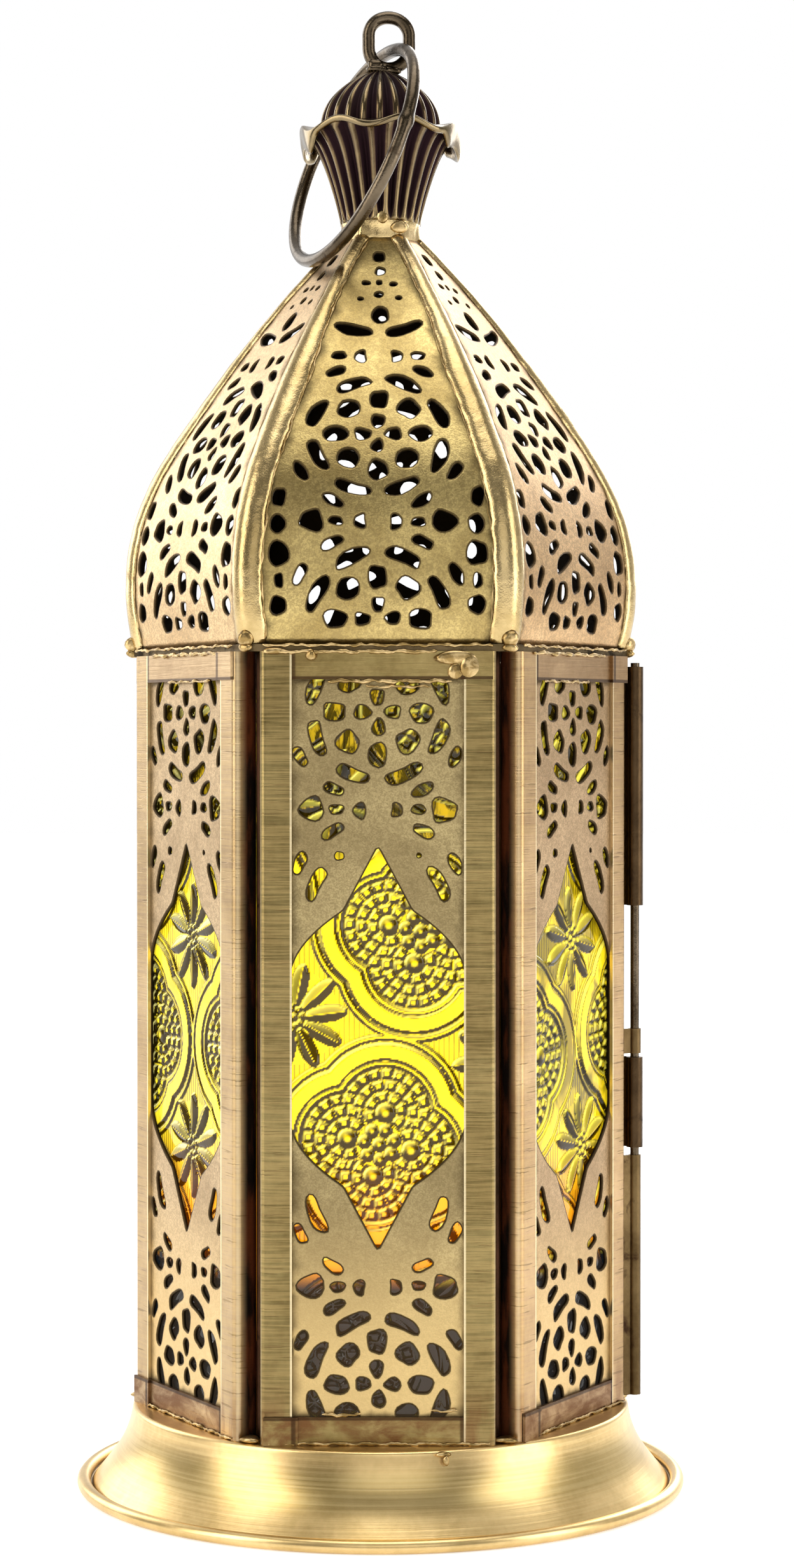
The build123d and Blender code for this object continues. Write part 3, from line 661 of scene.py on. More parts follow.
def hole_outline(hole, random, count=18):
    """A hand-cut hole: a squared ellipse, tapered, bent, a little turned and uneven."""
    x, y, angle, along, across, taper, bend = hole
    a = radians(angle + random.normal(0, 3.5))
    t = np.arange(count) * 2 * pi / count
    u = np.sign(np.cos(t)) * np.abs(np.cos(t)) ** 0.80
    v = np.sign(np.sin(t)) * np.abs(np.sin(t)) ** 0.80
    p, q = random.uniform(0, 2 * pi, 2)
    uneven = 1 + 0.07 * np.sin(2 * t + p) + 0.05 * np.sin(3 * t + q)
    size = random.uniform(0.94, 1.06)
    along_part = along / 2 * size * u * (1 + taper * v) * uneven
    across_part = across / 2 * size * v * (1 + 0.12 * np.sin(3 * u + q)) - bend * u * u
    shift = random.normal(0, 0.1, 2)
    return np.stack([
        x + shift[0] + cos(a) * along_part - sin(a) * across_part,
        y + shift[1] + sin(a) * along_part + cos(a) * across_part,
    ], axis=1)


def grown(outline, amount):
    """A closed outline moved outward, each point along the mean of its two edge normals."""
    edge = np.roll(outline, -1, axis=0) - np.roll(outline, 1, axis=0)
    edge /= np.linalg.norm(edge, axis=1)[:, None]
    return outline + amount * np.stack([edge[:, 1], -edge[:, 0]], axis=1)


def is_inside(points, outline):
    """Which points lie inside a closed outline, by counting crossings."""
    x, y = points[:, 0][:, None], points[:, 1][:, None]
    a, b = outline, np.roll(outline, -1, axis=0)
    crosses = (a[:, 1] > y) != (b[:, 1] > y)
    rise = np.where(np.abs(b[:, 1] - a[:, 1]) < 1e-9, 1e-9, b[:, 1] - a[:, 1])
    return (crosses & (x < a[:, 0] + (b[:, 0] - a[:, 0]) * (y - a[:, 1]) / rise)).sum(axis=1) % 2 == 1


def drop_inside(keep, points, outline):
    """Takes the points inside a closed outline out of those kept."""
    near = keep & (points >= outline.min(axis=0)).all(axis=1) & (points <= outline.max(axis=0)).all(axis=1)
    spots = np.flatnonzero(near)
    keep[spots[is_inside(points[spots], outline)]] = False


def pierced_sheet(border, outlines, spacing):
    """A flat sheet with holes as a triangle mesh in the plane.

    Each hole gets its own edge, a lip and a ring outside it; the rest is filled by constrained
    triangles over the rings, the border and a loose grid of points.
    Returns points, faces, the border's and holes' edge loops, and each point's distance mark.
    """
    rings = [grown(o, min(RING, 0.25 * np.ptp(o, axis=0).min())) for o in outlines]
    low, high = border.min(axis=0), border.max(axis=0)
    gx, gy = np.meshgrid(
        np.arange(low[0] + spacing / 2, high[0], spacing),
        np.arange(low[1] + spacing / 2, high[1], spacing))
    grid = np.stack([gx.ravel(), gy.ravel()], axis=1)
    grid[:, 0] += np.where((np.arange(len(grid)) // gx.shape[1]) % 2, spacing * 0.25, -spacing * 0.25)
    keep = is_inside(grid, grown(border, -0.7))
    for ring in rings:
        drop_inside(keep, grid, grown(ring, 0.45))
    loops = [border] + rings
    edges, start = [], 0
    for loop in loops:
        edges += [(start + k, start + (k + 1) % len(loop)) for k in range(len(loop))]
        start += len(loop)
    flat = np.vstack(loops + [grid[keep]])
    made = delaunay_2d_cdt([Vector(p) for p in flat.tolist()], edges, [], 0, 1e-5)
    back = np.array([o[0] for o in made[3]])
    triangles = back[np.array(made[2])]
    middle = flat[triangles].mean(axis=1)
    keep = is_inside(middle, border)
    for ring in rings:
        drop_inside(keep, middle, ring)
    triangles = triangles[keep]
    points, marks, faces, edge_loops = [flat], [np.ones(len(flat))], [triangles], [np.arange(len(border))]
    start, ring_start = len(flat), len(border)
    for outline in outlines:
        n = len(outline)
        points += [outline, grown(outline, LIP)]
        marks += [np.zeros(n), np.full(n, 0.1)]
        edge_ids, ring_ids = start + np.arange(n), ring_start + np.arange(n)
        lip_ids = edge_ids + n
        for a, b in ((edge_ids, lip_ids), (lip_ids, ring_ids)):
            faces.append(np.stack([a, b, np.roll(b, -1), np.roll(a, -1)], axis=1))
        edge_loops.append(edge_ids)
        start += 2 * n
        ring_start += n
    return np.vstack(points), faces, edge_loops, np.concatenate(marks)


def thick_sheet(flat, faces, loops, marks, place, thickness, edge):
    """Two copies of a flat mesh, the sheet's thickness apart, joined round every edge loop.

    Also returns the marks the finish is made from: from_hole grows away from each hole, from_edge
    away from the sheet's covered border, and inner is 1 on the side that faces the candle.
    """
    lift = np.where(marks < 0.05, -LIP, 0.0)
    n = len(flat)
    x, y = flat.T
    points = np.vstack([place(x, y, lift), place(x, y, np.full(n, -thickness))])
    under = [f[:, ::-1] + n for f in faces]
    walls = [np.stack([l, np.roll(l, -1), np.roll(l, -1) + n, l + n], axis=1) for l in loops]
    finish = {
        "from_hole": np.concatenate([marks, marks]),
        "from_edge": np.tile(np.clip(edge(x, y), 0, 1), 2),
        "inner": np.repeat([0.0, 1.0], n),
    }
    return points, faces + under + walls, finish


# the pointed opening's quarter: a straight point, then a curved shoulder, then an upright flank
TIP_Y = 34.3
SHOULDER_X, SHOULDER_Y = 5.8, 23.4
FLANK_X, FLANK_Y = 14.9, 11.5
POINT_TALL = TIP_Y - SHOULDER_Y
BELLY_WIDE, BELLY_TALL = FLANK_X - SHOULDER_X, SHOULDER_Y - FLANK_Y


def medallion_outline():
    """The pointed opening: straight point, curved shoulder, upright flank, rounded by corner cutting."""
    steps = np.linspace(0, 1, 10)
    point_side = np.stack([SHOULDER_X * steps, TIP_Y - POINT_TALL * steps], axis=1)
    fall = np.linspace(1, 0, 16)[1:]
    shoulder = np.stack([SHOULDER_X + BELLY_WIDE * (1 - fall ** 2), FLANK_Y + BELLY_TALL * fall], axis=1)
    flank = np.stack([np.full(7, FLANK_X), np.linspace(FLANK_Y, 0, 8)[1:]], axis=1)
    quarter = np.vstack([point_side, shoulder, flank])
    right = np.vstack([quarter, (quarter * [1, -1])[::-1][1:]])
    outline = np.vstack([right, (right * [-1, 1])[::-1][1:-1]])[::-1]
    for _ in range(2):
        following = np.roll(outline, -1, axis=0)
        outline = np.stack([outline * 0.75 + following * 0.25, outline * 0.25 + following * 0.75], axis=1)
        outline = outline.reshape(-1, 2)
    return outline[::2]


def medallion_half(y):
    """Half width of the pointed opening at height y, 0 or more."""
    if y >= TIP_Y:
        return 0.0
    if y >= SHOULDER_Y:
        return SHOULDER_X * (TIP_Y - y) / POINT_TALL
    if y <= FLANK_Y:
        return FLANK_X
    return SHOULDER_X + BELLY_WIDE * (1 - ((y - FLANK_Y) / BELLY_TALL) ** 2)


def plate_outlines():
    """The outlines of all openings of a plate."""
    random = np.random.RandomState(7)
    half = moved(rosette_holes(), 57.2) + moved(row_holes(), 40.5) + moved(rosette_holes(), 23.8)
    kept = []
    for hole in half:
        rx, ry = hole_reach(hole)
        inner = max(hole.y - ry, 0)
        side_clear = abs(hole.x) + rx < WINDOW_HALF + 0.3
        end_clear = hole.y + ry < PANE_TALL - 0.9
        middle_clear = abs(hole.x) - rx > medallion_half(inner) + 1.1 or inner > 35.4
        if side_clear and end_clear and middle_clear and hole.y > 0:
            kept.append(hole)
    kept += [h._replace(y=-h.y, angle=-h.angle, taper=-h.taper, bend=-h.bend) for h in kept]
    dots = [Hole(-6.4, 32.8, 0, 1.3, 1.2), Hole(7.1, 32.9, 0, 0.8, 0.7)]
    return [hole_outline(hole, random) for hole in kept + dots] + [medallion_outline()]


# ---------------------------------------------------------------- dome surface
BULGE = (-6.5, 11.4, 46.4)          # centre apothem, centre height and radius of the lower arc
SLOPE = (-171.6, -78.3, 234.3)      # the same for the upper arc, which meets it smoothly
_, BULGE_UP, BULGE_R = BULGE
_, SLOPE_UP, SLOPE_R = SLOPE
FOOT_ANGLE = -np.arcsin(BULGE_UP / BULGE_R)
HAUNCH_ANGLE = radians(28.5)
CROWN_ANGLE = np.arcsin((DOME_TALL - SLOPE_UP) / SLOPE_R)
LOWER_LENGTH = BULGE_R * (HAUNCH_ANGLE - FOOT_ANGLE)
GORE_LENGTH = LOWER_LENGTH + SLOPE_R * (CROWN_ANGLE - HAUNCH_ANGLE)


def dome_line(s):
    """Apothem, height and outward normal at the distance s up the dome from its edge, on two arcs."""
    s = np.asarray(s, dtype=float)
    low = s < LOWER_LENGTH
    angle = np.where(low, FOOT_ANGLE + s / BULGE_R, HAUNCH_ANGLE + (s - LOWER_LENGTH) / SLOPE_R)
    centre_r, centre_h, radius = (np.where(low, a, b) for a, b in zip(BULGE, SLOPE))
    out, up = np.cos(angle), np.sin(angle)
    return centre_r + radius * out, centre_h + radius * up + DOME_FOOT, out, up


def rib_half(s):
    """Half width of a rib measured along the gore, slimmer towards the crown."""
    return 2.95 * np.clip((GORE_LENGTH + 8 - s) / 42, 0.55, 1)


def on_gore(x, s, lift):
    """A point of the front gore: x across, s up the gore, lifted off its outer face."""
    apothem, height, out, up = dome_line(s)
    return np.stack([x + 0 * s, -(apothem + lift * out), height + lift * up], axis=-1)


def on_panel(x, v, lift):
    """A point of the front panel: x across, v up from its middle, lifted off the plate's front."""
    return np.stack([x + 0 * v, -(APOTHEM - SHEET + lift) + 0 * x, PANEL_MID + v], axis=-1)


GORE_PITCH = 33.4       # from one rosette to the next up a gore
GORE_ROW = 21.1         # the first row between two rosettes, up from the gore's edge


def gore_outlines():
    """The outlines of a gore's holes, in x and distance up the gore."""
    random = np.random.RandomState(11)
    pattern = []
    for k in range(3):
        pattern += moved(rosette_holes(), 4.4 + GORE_PITCH * k)
        pattern += moved(row_holes(), GORE_ROW + GORE_PITCH * k)
    column = [(4.3, 2.0, 3.2), (-0.5, 2.3, 2.9), (-5.5, 3.2, 3.9), (-10.2, 1.3, 2.3), (-14.4, 2.6, 2.9)]
    for hand in (-1, 1):
        pattern += [Hole(hand * 16.8, GORE_ROW + offset, 0, wide, tall) for offset, wide, tall in column]
    kept = []
    for hole in pattern:
        rx, ry = hole_reach(hole)
        upper = min(max(hole.y + ry, 0), GORE_LENGTH)
        half = float(dome_line(upper)[0]) * TAN30 - 3.5
        if hole.y - ry > 2.4 and hole.y + ry < 67 and abs(hole.x) + rx < half:
            kept.append(hole_outline(hole, random))
    crown = [
        (0, 78.4, 1.7, 2.5), (0.1, 74.9, 1.6, 1.9), (-2.4, 71.8, 1.5, 1.0), (0, 71.9, 0.9, 1.1),
        (2.5, 71.7, 1.4, 1.0), (0, 69.0, 1.5, 1.3), (-3.3, 67.9, 0.9, 0.8), (3.3, 68.1, 1.0, 0.9)]
    kept += [hole_outline(Hole(x, s, 0, wide, tall), random, 14) for x, s, wide, tall in crown]
    return kept


def gore_border():
    """The gore's outline: its edge, then up one seam and down the other."""
    s = np.linspace(0, GORE_LENGTH, 56)
    half = dome_line(s)[0] * TAN30 - 0.05
    bottom = np.linspace(-half[0], half[0], 26)[:-1]
    top = np.linspace(half[-1], -half[-1], 8)[1:-1]
    return np.vstack([
        np.stack([bottom, np.zeros_like(bottom)], axis=1),
        np.stack([half, s], axis=1),
        np.stack([top, np.full_like(top, GORE_LENGTH)], axis=1),
        np.stack([-half[::-1], s[::-1]], axis=1)[:-1],
    ])


# ---------------------------------------------------------------- pressed glass
def pressed_relief(x, y, disc_x, disc_y, lean):
    """Height from 0 to 1 of the pressed pattern, and where it is plain ground.

    The pattern is a square lattice of discs with daisies between.

    A disc is a four-lobed field: the distance to the nearest of four lobe centres. Two raised bands
    follow its level lines, small stones fill its rows inside them, and round beads its middle.
    Flat ground is left for the upright hatching of the finish.
    """
    pitch, lobe_off = 37.0, 5.5
    c, s = cos(radians(lean)), sin(radians(lean))
    across = c * (x - disc_x) + s * (y - disc_y)
    up = c * (y - disc_y) - s * (x - disc_x)
    dx, dy = across - pitch * np.round(across / pitch), up - pitch * np.round(up / pitch)
    fx = across - pitch * (np.round(across / pitch - 0.5) + 0.5)
    fy = up - pitch * (np.round(up / pitch - 0.5) + 0.5)
    lobe = np.minimum(np.hypot(np.abs(dx) - lobe_off, dy), np.hypot(dx, np.abs(dy) - lobe_off))
    disc_r, disc_a = np.hypot(dx, dy), np.arctan2(dy, dx)
    daisy_r, daisy_a = np.hypot(fx, fy), np.arctan2(fy, fx)

    height = np.full_like(x, 0.10)
    for level, half_wide, tall in ((8.5, 0.30, 0.6), (10.45, 1.25, 0.85), (12.9, 0.30, 0.5)):
        height = np.maximum(height, tall * np.clip((half_wide + 0.42 - np.abs(lobe - level)) / 0.42, 0, 1))
    ground = ((lobe > 13.4) & (daisy_r > 8.0)).astype(float)
    row = (7.7 - lobe) / 2.0
    sideways = np.abs(dx) >= np.abs(dy)
    lobe_x = np.where(sideways, lobe_off, 0) * np.sign(dx)
    lobe_y = np.where(sideways, 0, lobe_off) * np.sign(dy)
    lobe_a = np.arctan2(dy - lobe_y, dx - lobe_x)
    cells_round = np.maximum(np.round(2 * pi * (7.7 - 2.0 * (np.floor(row) + 0.5)) / 2.1), 4)
    cell_u = np.abs((lobe_a / (2 * pi) * cells_round) % 1 - 0.5) * 2
    cell_v = np.abs(row % 1 - 0.5) * 2
    stone = 0.6 * (1 - np.clip(np.maximum(cell_u, cell_v) - 0.50, 0, 0.40) / 0.40)
    height = np.where((lobe < 7.7) & (disc_r > 4.0), stone, height)
    height = np.where(lobe < 1.7, 0.2 + 0.75 * np.sqrt(np.clip(1 - (lobe / 1.6) ** 2, 0, 1)), height)
    bead_turn = ((disc_a / (2 * pi) * 7) % 1 - 0.5) * 2 * pi / 7
    bead_off = np.hypot(disc_r * np.cos(bead_turn) - 2.6, disc_r * np.sin(bead_turn))
    beads = np.sqrt(np.clip(1 - (np.minimum(bead_off, disc_r) / 1.15) ** 2, 0, 1))
    height = np.where(disc_r < 4.0, 0.1 + 0.8 * beads, height)

    sector = (daisy_a / (2 * pi) * 10) % 1 - 0.5
    reach = np.clip((daisy_r - 2.2) / 7.0, 0, 1)
    half = 0.47 * np.sqrt(np.clip(1.25 * (1 - reach), 0, 1))
    petal = np.clip(1 - np.abs(sector) / np.maximum(half, 1e-3), 0, 1)
    in_petal = (daisy_r > 2.2) & (daisy_r < 9.2) & (np.abs(sector) < half)
    height = np.where(in_petal, 0.25 + 0.75 * petal ** 0.7, height)
    ring_angle = ((daisy_a / (2 * pi) * 8) % 1 - 0.5) * 2 * pi / 8
    seed_off = np.hypot(daisy_r * np.cos(ring_angle) - 1.55, daisy_r * np.sin(ring_angle))
    seeds = np.sqrt(np.clip(1 - (np.minimum(seed_off, daisy_r) / 0.62) ** 2, 0, 1))
    return np.where(daisy_r < 2.2, 0.2 + 0.7 * seeds, height), ground


def glass_pane(disc_x, disc_y, lean):
    """A pane: relief on the window's face, flat margins and back, and marks of its slopes and ground."""
    x = np.concatenate([[-PANE_HALF], np.linspace(-15.4, 15.4, 132), [PANE_HALF]])
    v = np.concatenate([[-PANE_TALL], np.linspace(-66, 66, 562), [PANE_TALL]])
    gx, gv = np.meshgrid(x, v)
    height, ground = pressed_relief(gx, gv, disc_x, disc_y, lean)
    height[:, [0, -1]] = 0
    height[[0, -1], :] = 0
    slope_v, slope_x = np.gradient(height, 0.235)
    # gleam marks a painted highlight on slopes facing up and to the left, steep a painted shade on the other
    # steep slopes
    gleam = np.clip(0.9 * (0.55 * slope_x - 0.83 * slope_v) - 0.12, 0, 1)
    steep = np.clip(6.0 * np.hypot(slope_x, slope_v) - 5.0 * gleam - 0.4, 0, 1)
    front = np.stack([gx, -(APOTHEM - 1.95 + 0.62 * height), PANEL_MID + gv], axis=-1)
    rows, columns = gx.shape
    k = np.arange(rows * columns).reshape(rows, columns)
    rim = np.concatenate([k[0, :-1], k[:-1, -1], k[-1, :0:-1], k[:0:-1, 0]])
    points = front.reshape(-1, 3)
    behind = points[rim].copy()
    behind[:, 1] = -(APOTHEM - 3.95)
    back = rows * columns + np.arange(len(rim))
    walls = np.stack([rim, np.roll(rim, -1), np.roll(back, -1), back], axis=1)
    flat_marks = np.zeros(len(rim))
    marks = {
        key: np.concatenate([values.ravel(), flat_marks])
        for key, values in (("steep", steep), ("gleam", gleam), ("ground", ground))}
    return np.vstack([points, behind]), [grid_faces(rows, columns), walls, back[None, ::-1]], marks


# ---------------------------------------------------------------- materials
CHANNEL = {p: make_channel_material(p, i) for i, p in enumerate(PANELS)}
RAIL = {p: make_rail_material(p, i) for i, p in enumerate(PANELS)}
PLATE = {p: make_pierced_material(f"pierced plate {p}", p) for p in PANELS}
GORE = {g: make_pierced_material(f"pierced dome {g}", g, dome=True) for g in GORES}
SOLDER = make_solder_material()
BASE = make_spun_material()
FLUTED = make_fluted_material()
RIB = make_plain_brass(
    "dome rib brass", (0.60, 0.45, 0.22), (0.38, 0.27, 0.11), (0.16, 0.10, 0.04), 0.35, 0.20, 0.35)
WIRE = make_plain_brass(
    "bronze wire", (0.125, 0.095, 0.062), (0.055, 0.040, 0.024), (0.03, 0.018, 0.010), 0.45, 0.18)
DARK = make_plain_brass(
    "dark brass", (0.20, 0.14, 0.07), (0.10, 0.07, 0.03), (0.03, 0.02, 0.01), 0.5, 0.45)
CATCH = make_plain_brass(
    "latch brass", (0.62, 0.46, 0.22), (0.42, 0.29, 0.12), (0.12, 0.06, 0.02), 0.35, 0.28)
TUBE = make_plain_brass(
    "hinge tube brass", (0.16, 0.105, 0.045), (0.08, 0.05, 0.02), (0.04, 0.02, 0.01), 0.45, 0.30)
TUBE_DARK = make_plain_brass(
    "sooty hinge tube", (0.085, 0.052, 0.025), (0.04, 0.024, 0.012), (0.02, 0.012, 0.008), 0.45, 0.26)
CUP = make_plain_brass(
    "candle cup brass", (0.60, 0.46, 0.24), (0.40, 0.28, 0.12), (0.12, 0.08, 0.04), 0.35, 0.30, 0.2)
# near-black brass of the bars behind the upright grooves, a painted shade of the gap between panels
GAP_SHADE = make_plain_brass(
    "gap shade", (0.10, 0.045, 0.025), (0.035, 0.018, 0.010), (0.012, 0.008, 0.006), 0.4, 0.55)
PLAIN_GLASS = ((0.80, 0.58, 0.010), (1.0, 0.84, 0.08), 0.75, 0.30, 0.55)
OTHER_GLASS = {   # panel: name, body and gleam tone, share of patchy painted shade, clearness and painted glow; the front pane is painted brightest, the others darker
    "front": ("yellow glass bright", (1.0, 0.78, 0.006), (1.0, 0.92, 0.16), 0.2, 0.5, 0.72),
    "front_left": ("yellow glass pale", (0.95, 0.74, 0.03), (1.0, 0.92, 0.30), 0.45, 0.35, 0.70),
}
GLASS = {}
for steps, panel in enumerate(PANELS):
    name, *finish = OTHER_GLASS.get(panel, (f"yellow glass {panel}", *PLAIN_GLASS))
    GLASS[panel] = make_glass_material(name, steps, *finish)


def paint(names, material):
    """Gives CAD pieces their finish."""
    for name in names:
        for holder in nodes[name].material_slots:
            holder.material = material


for panel in PANELS:
    paint([f"{panel}_channels"], CHANNEL[panel])
    paint([f"{panel}_rails"], RAIL[panel])
paint(["floor_plate", "top_frame"], DARK)
paint(["candle_cup"], CUP)
paint(["latch_plate", "latch_catch"], CATCH)
paint(["latch_rivet", "hinge_pin"], WIRE)
paint(["frame_knuckles"], TUBE)
paint(["door_knuckles"], TUBE_DARK)

# ---------------------------------------------------------------- plates, glass and gores
level_edge = np.linspace(-PANE_HALF, PANE_HALF, 13)[:-1]
upright_edge = np.linspace(-PANE_TALL, PANE_TALL, 41)[:-1]
half_border = np.vstack([
    np.stack([level_edge, np.full(12, -PANE_TALL)], axis=1),
    np.stack([np.full(40, PANE_HALF), upright_edge], axis=1),
])
flat_plate = pierced_sheet(np.vstack([half_border, -half_border]), plate_outlines(), 2.6)
plate_points, plate_faces, plate_finish = thick_sheet(
    *flat_plate, on_panel, SHEET,
    lambda x, v: np.minimum(WINDOW_HALF - 0.05 - np.abs(x), WINDOW_TALL - 0.05 - np.abs(v)) / 0.55)
CUTS = {   # panel: where a disc's middle falls on its pane, and the pattern's lean in degrees
    "front": (0.2, -16.5, -11.0), "front_right": (-15.0, -3.0, 6.0), "door": (12.0, 9.0, -4.0),
    "back": (-5.0, 14.0, 8.0), "back_left": (9.0, -12.0, -7.0), "front_left": (-18.0, -0.5, 0.0),
}
for steps, panel in enumerate(PANELS):
    body = "door" if panel == "door" else "lantern"
    shrink = np.array([1, 1, DOOR_TALL / (2 * PANE_TALL)]) if panel == "door" else np.ones(3)
    middle = np.array([0, 0, PANEL_MID])
    placed = turn((plate_points - middle) * shrink + middle, steps)
    plate = put_mesh(f"{panel}_pierced_plate", placed, plate_faces, body, PLATE[panel],
                     "plate_brass", plate_finish)
    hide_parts(f"{panel}_plate")
    pane_points, pane_faces, pane_marks = glass_pane(*CUTS[panel])
    placed = turn((pane_points - middle) * shrink + middle, steps)
    pane = put_mesh(f"{panel}_pressed_glass", placed, pane_faces, body, GLASS[panel],
                    "yellow_glass", pane_marks)
    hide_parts(f"{panel}_glass")

flat_gore = pierced_sheet(gore_border(), gore_outlines(), 2.2)
gore_points, gore_faces, gore_finish = thick_sheet(
    *flat_gore, on_gore, SHEET,
    lambda x, s: (dome_line(s)[0] * TAN30 - rib_half(s) / cos(radians(30)) - 0.1 - np.abs(x)) / 0.9)
for steps, gore in enumerate(GORES):
    sheet = put_mesh(f"pierced_gore_{gore}", turn(gore_points, steps), gore_faces, "lantern", GORE[gore],
                     "plate_brass", gore_finish)
    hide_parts(f"dome_gore_{gore}")


# ---------------------------------------------------------------- dome ribs
def rib_shell(seed):
    """A rounded strip folded over a seam: across it, the height is a soft crown with wavy edges."""
    s = np.linspace(0.0, GORE_LENGTH, 110)
    apothem, height, out, up = dome_line(s)
    ridge = np.stack([apothem * TAN30, -apothem, height], axis=1)
    beside = np.array([cos(radians(30)), sin(radians(30)), 0])
    outward_plan = np.array([sin(radians(30)), -cos(radians(30)), 0])
    outward = outward_plan[None, :] * out[:, None] + np.array([0, 0, 1.0]) * up[:, None]
    a = np.linspace(-1, 1, 17)
    left = rib_half(s) + 0.18 * wave(s / 2.4, seed) + 0.10 * wave(s * 1.3, seed + 5)
    right = rib_half(s) + 0.18 * wave(s / 2.1, seed + 1) + 0.10 * wave(s * 1.2, seed + 6)
    lateral = np.where(a[None, :] < 0, left[:, None], right[:, None]) * a[None, :]
    rounding = 1.5
    drop = (np.sqrt(lateral ** 2 + rounding ** 2) - rounding * 0.62) * TAN30
    crown = 0.62 * (1 - np.abs(a) ** 5) + 0.10 * wave(s / 6, seed + 2)[:, None] * (1 - a ** 2)
    top = (
        ridge[:, None, :]
        + lateral[:, :, None] * beside
        + (crown - drop)[:, :, None] * outward[:, None, :]
    )
    under_a = a[::-2]
    under_lateral = np.where(under_a[None, :] < 0, left[:, None], right[:, None]) * under_a[None, :]
    under = (
        ridge[:, None, :]
        + under_lateral[:, :, None] * beside
        - (np.abs(under_lateral) * TAN30 + 0.25)[:, :, None] * outward[:, None, :]
    )
    section = np.concatenate([top, under], axis=1)
    rows, columns = section.shape[:2]
    points = section.reshape(-1, 3)
    caps = [np.arange(columns)[None, ::-1], ((rows - 1) * columns + np.arange(columns))[None, :]]
    return points, [grid_faces(rows, columns, close_columns=True)] + caps


for steps in range(6):
    rib_points, rib_faces = rib_shell(40 + 3 * steps)
    rib = put_mesh(f"folded_rib_{steps + 1}", turn(rib_points, steps), rib_faces, "lantern", RIB, "rib_brass")
    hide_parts(f"dome_rib_{steps + 1}")


# ---------------------------------------------------------------- spun base
def spun_base():
    """The base turned about the axis: deck, rounded shoulder, hollowed flare, groove and rolled rim."""
    deck = np.stack([np.linspace(33.0, 44.2, 8), np.full(8, 15.0)], axis=1)
    a = np.linspace(90, 12, 9)[1:]
    shoulder = np.stack([44.2 + 0.8 * np.cos(np.radians(a)), 14.2 + 0.8 * np.sin(np.radians(a))], axis=1)
    t = np.linspace(0, 1, 30)[1:]
    flare_r = 44.98 + 7.1 * t - 1.5 * np.sin(pi * t) * (1 - 0.25 * t)
    flare = np.stack([flare_r, 14.3 - 13.1 * t ** 0.96], axis=1)
    seat = np.array([[52.3, 0.75], [52.6, 0.62]])
    b = np.radians(np.linspace(195, -85, 24))
    rim = np.stack([53.8 + 1.2 * np.cos(b), 1.2 + 1.2 * np.sin(b)], axis=1)
    inside = np.array([
        [53.0, 0.05], [51.9, 0.2], [50.5, 1.4], [47.6, 5.5], [45.6, 9.5], [44.1, 13.6], [43.6, 14.1],
        [33.0, 14.2]])
    profile = np.vstack([deck, shoulder, flare, seat, rim, inside])
    angle = np.arange(240) * 2 * pi / 240
    swell = 0.10 * wave(angle * 3, 3)[:, None] * np.exp(-((profile[:, 1] - 7) / 5) ** 2)[None, :]
    r = profile[None, :, 0] + np.where(profile[:, 0] < 52.2, 1, 0)[None, :] * swell
    return turned(r, np.maximum(profile[:, 1], 0.0), angle)


base = put_mesh("spun_base", *spun_base(), "lantern", BASE, "base_brass")
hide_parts("base_skirt")


# ---------------------------------------------------------------- finial
CONE_FOOT, CROWN_FOOT = 228.2, 245.4        # heights of the two shells' feet


def fluted(profile, flutes, depth, seed, sharp, ruffle=None):
    """A fluted shell turned about the axis.

    The profile's rows are radius, height, share of the flutes, of the ruffle and of its droop. Across
    a flute the wall follows a power of a sine, so that ridges are narrow and grooves are wide.
    Also returns a mark of how near each point is to a ridge's top.
    """
    turns = flutes * 12
    angle = np.arange(turns) * 2 * pi / turns
    ridge = np.abs(np.sin(flutes * (angle + 0.012 * wave(angle * 4, seed)) / 2)) ** sharp
    radius, height, share, sway, droop = np.array(profile).T[:, None, :]
    r = radius - depth * share * (1 - ridge)[:, None]
    z = height + 0 * r
    if ruffle is not None:
        lift, out, hang = ruffle(angle)
        z = z + lift[:, None] * sway - hang[:, None] * droop
        r = r + out[:, None] * sway - 0.12 * hang[:, None] * droop
    mark = 1 - share * (1 - ridge)[:, None]
    return *turned(r, z, angle), {"ridge": mark.ravel()}


def rim_ruffle(angle):
    """The rim's seven lobes up and down, and the two side lobes that curl down as lips."""
    lift = 0.85 * np.cos(7 * angle + radians(134)) + 0.15 * np.sin(3 * angle)
    out = 0.25 * np.sin(7 * angle + 0.6)
    to_side = np.clip((np.abs(np.cos(angle)) - 0.76) / 0.13, 0, 1)
    return lift, out, 0.25 + 3.1 * np.sin(to_side * pi / 2) ** 2


cone_profile = [
    (7.3 + 4.9 * u ** 1.25 + 1.2 * u ** 8, CONE_FOOT + 15.8 * u, min(1.0, 0.1 + 5 * u), 0.1 * u ** 8, 0.0)
    for u in np.linspace(0, 1, 24)]
cone_profile += [
    (13.5, 244.45, 0.5, 0.5, 0.0), (13.8, 244.5, 0.2, 0.9, 0.3), (13.85, 244.4, 0.0, 1.0, 0.7),
    (14.0, 244.35, 0.0, 1.0, 0.95), (14.3, 244.3, 0.0, 1.0, 1.05), (14.6, 244.4, 0.0, 1.0, 0.95),
    (14.8, 244.7, 0.0, 1.0, 0.5), (14.8, 245.0, 0.0, 1.0, 0.05), (14.6, 245.15, 0.0, 1.0, 0.0),
    (14.2, 245.25, 0.0, 0.9, 0.0), (13.4, 245.3, 0.0, 0.65, 0.0), (12.4, 245.35, 0.0, 0.3, 0.0),
    (11.0, 245.5, 0.0, 0.0, 0.0), (9.5, CROWN_FOOT, 0.0, 0.0, 0.0), (9.3, 240.0, 0.0, 0.0, 0.0),
    (6.0, 230.0, 0.0, 0.0, 0.0), (5.8, CONE_FOOT, 0.0, 0.0, 0.0)]
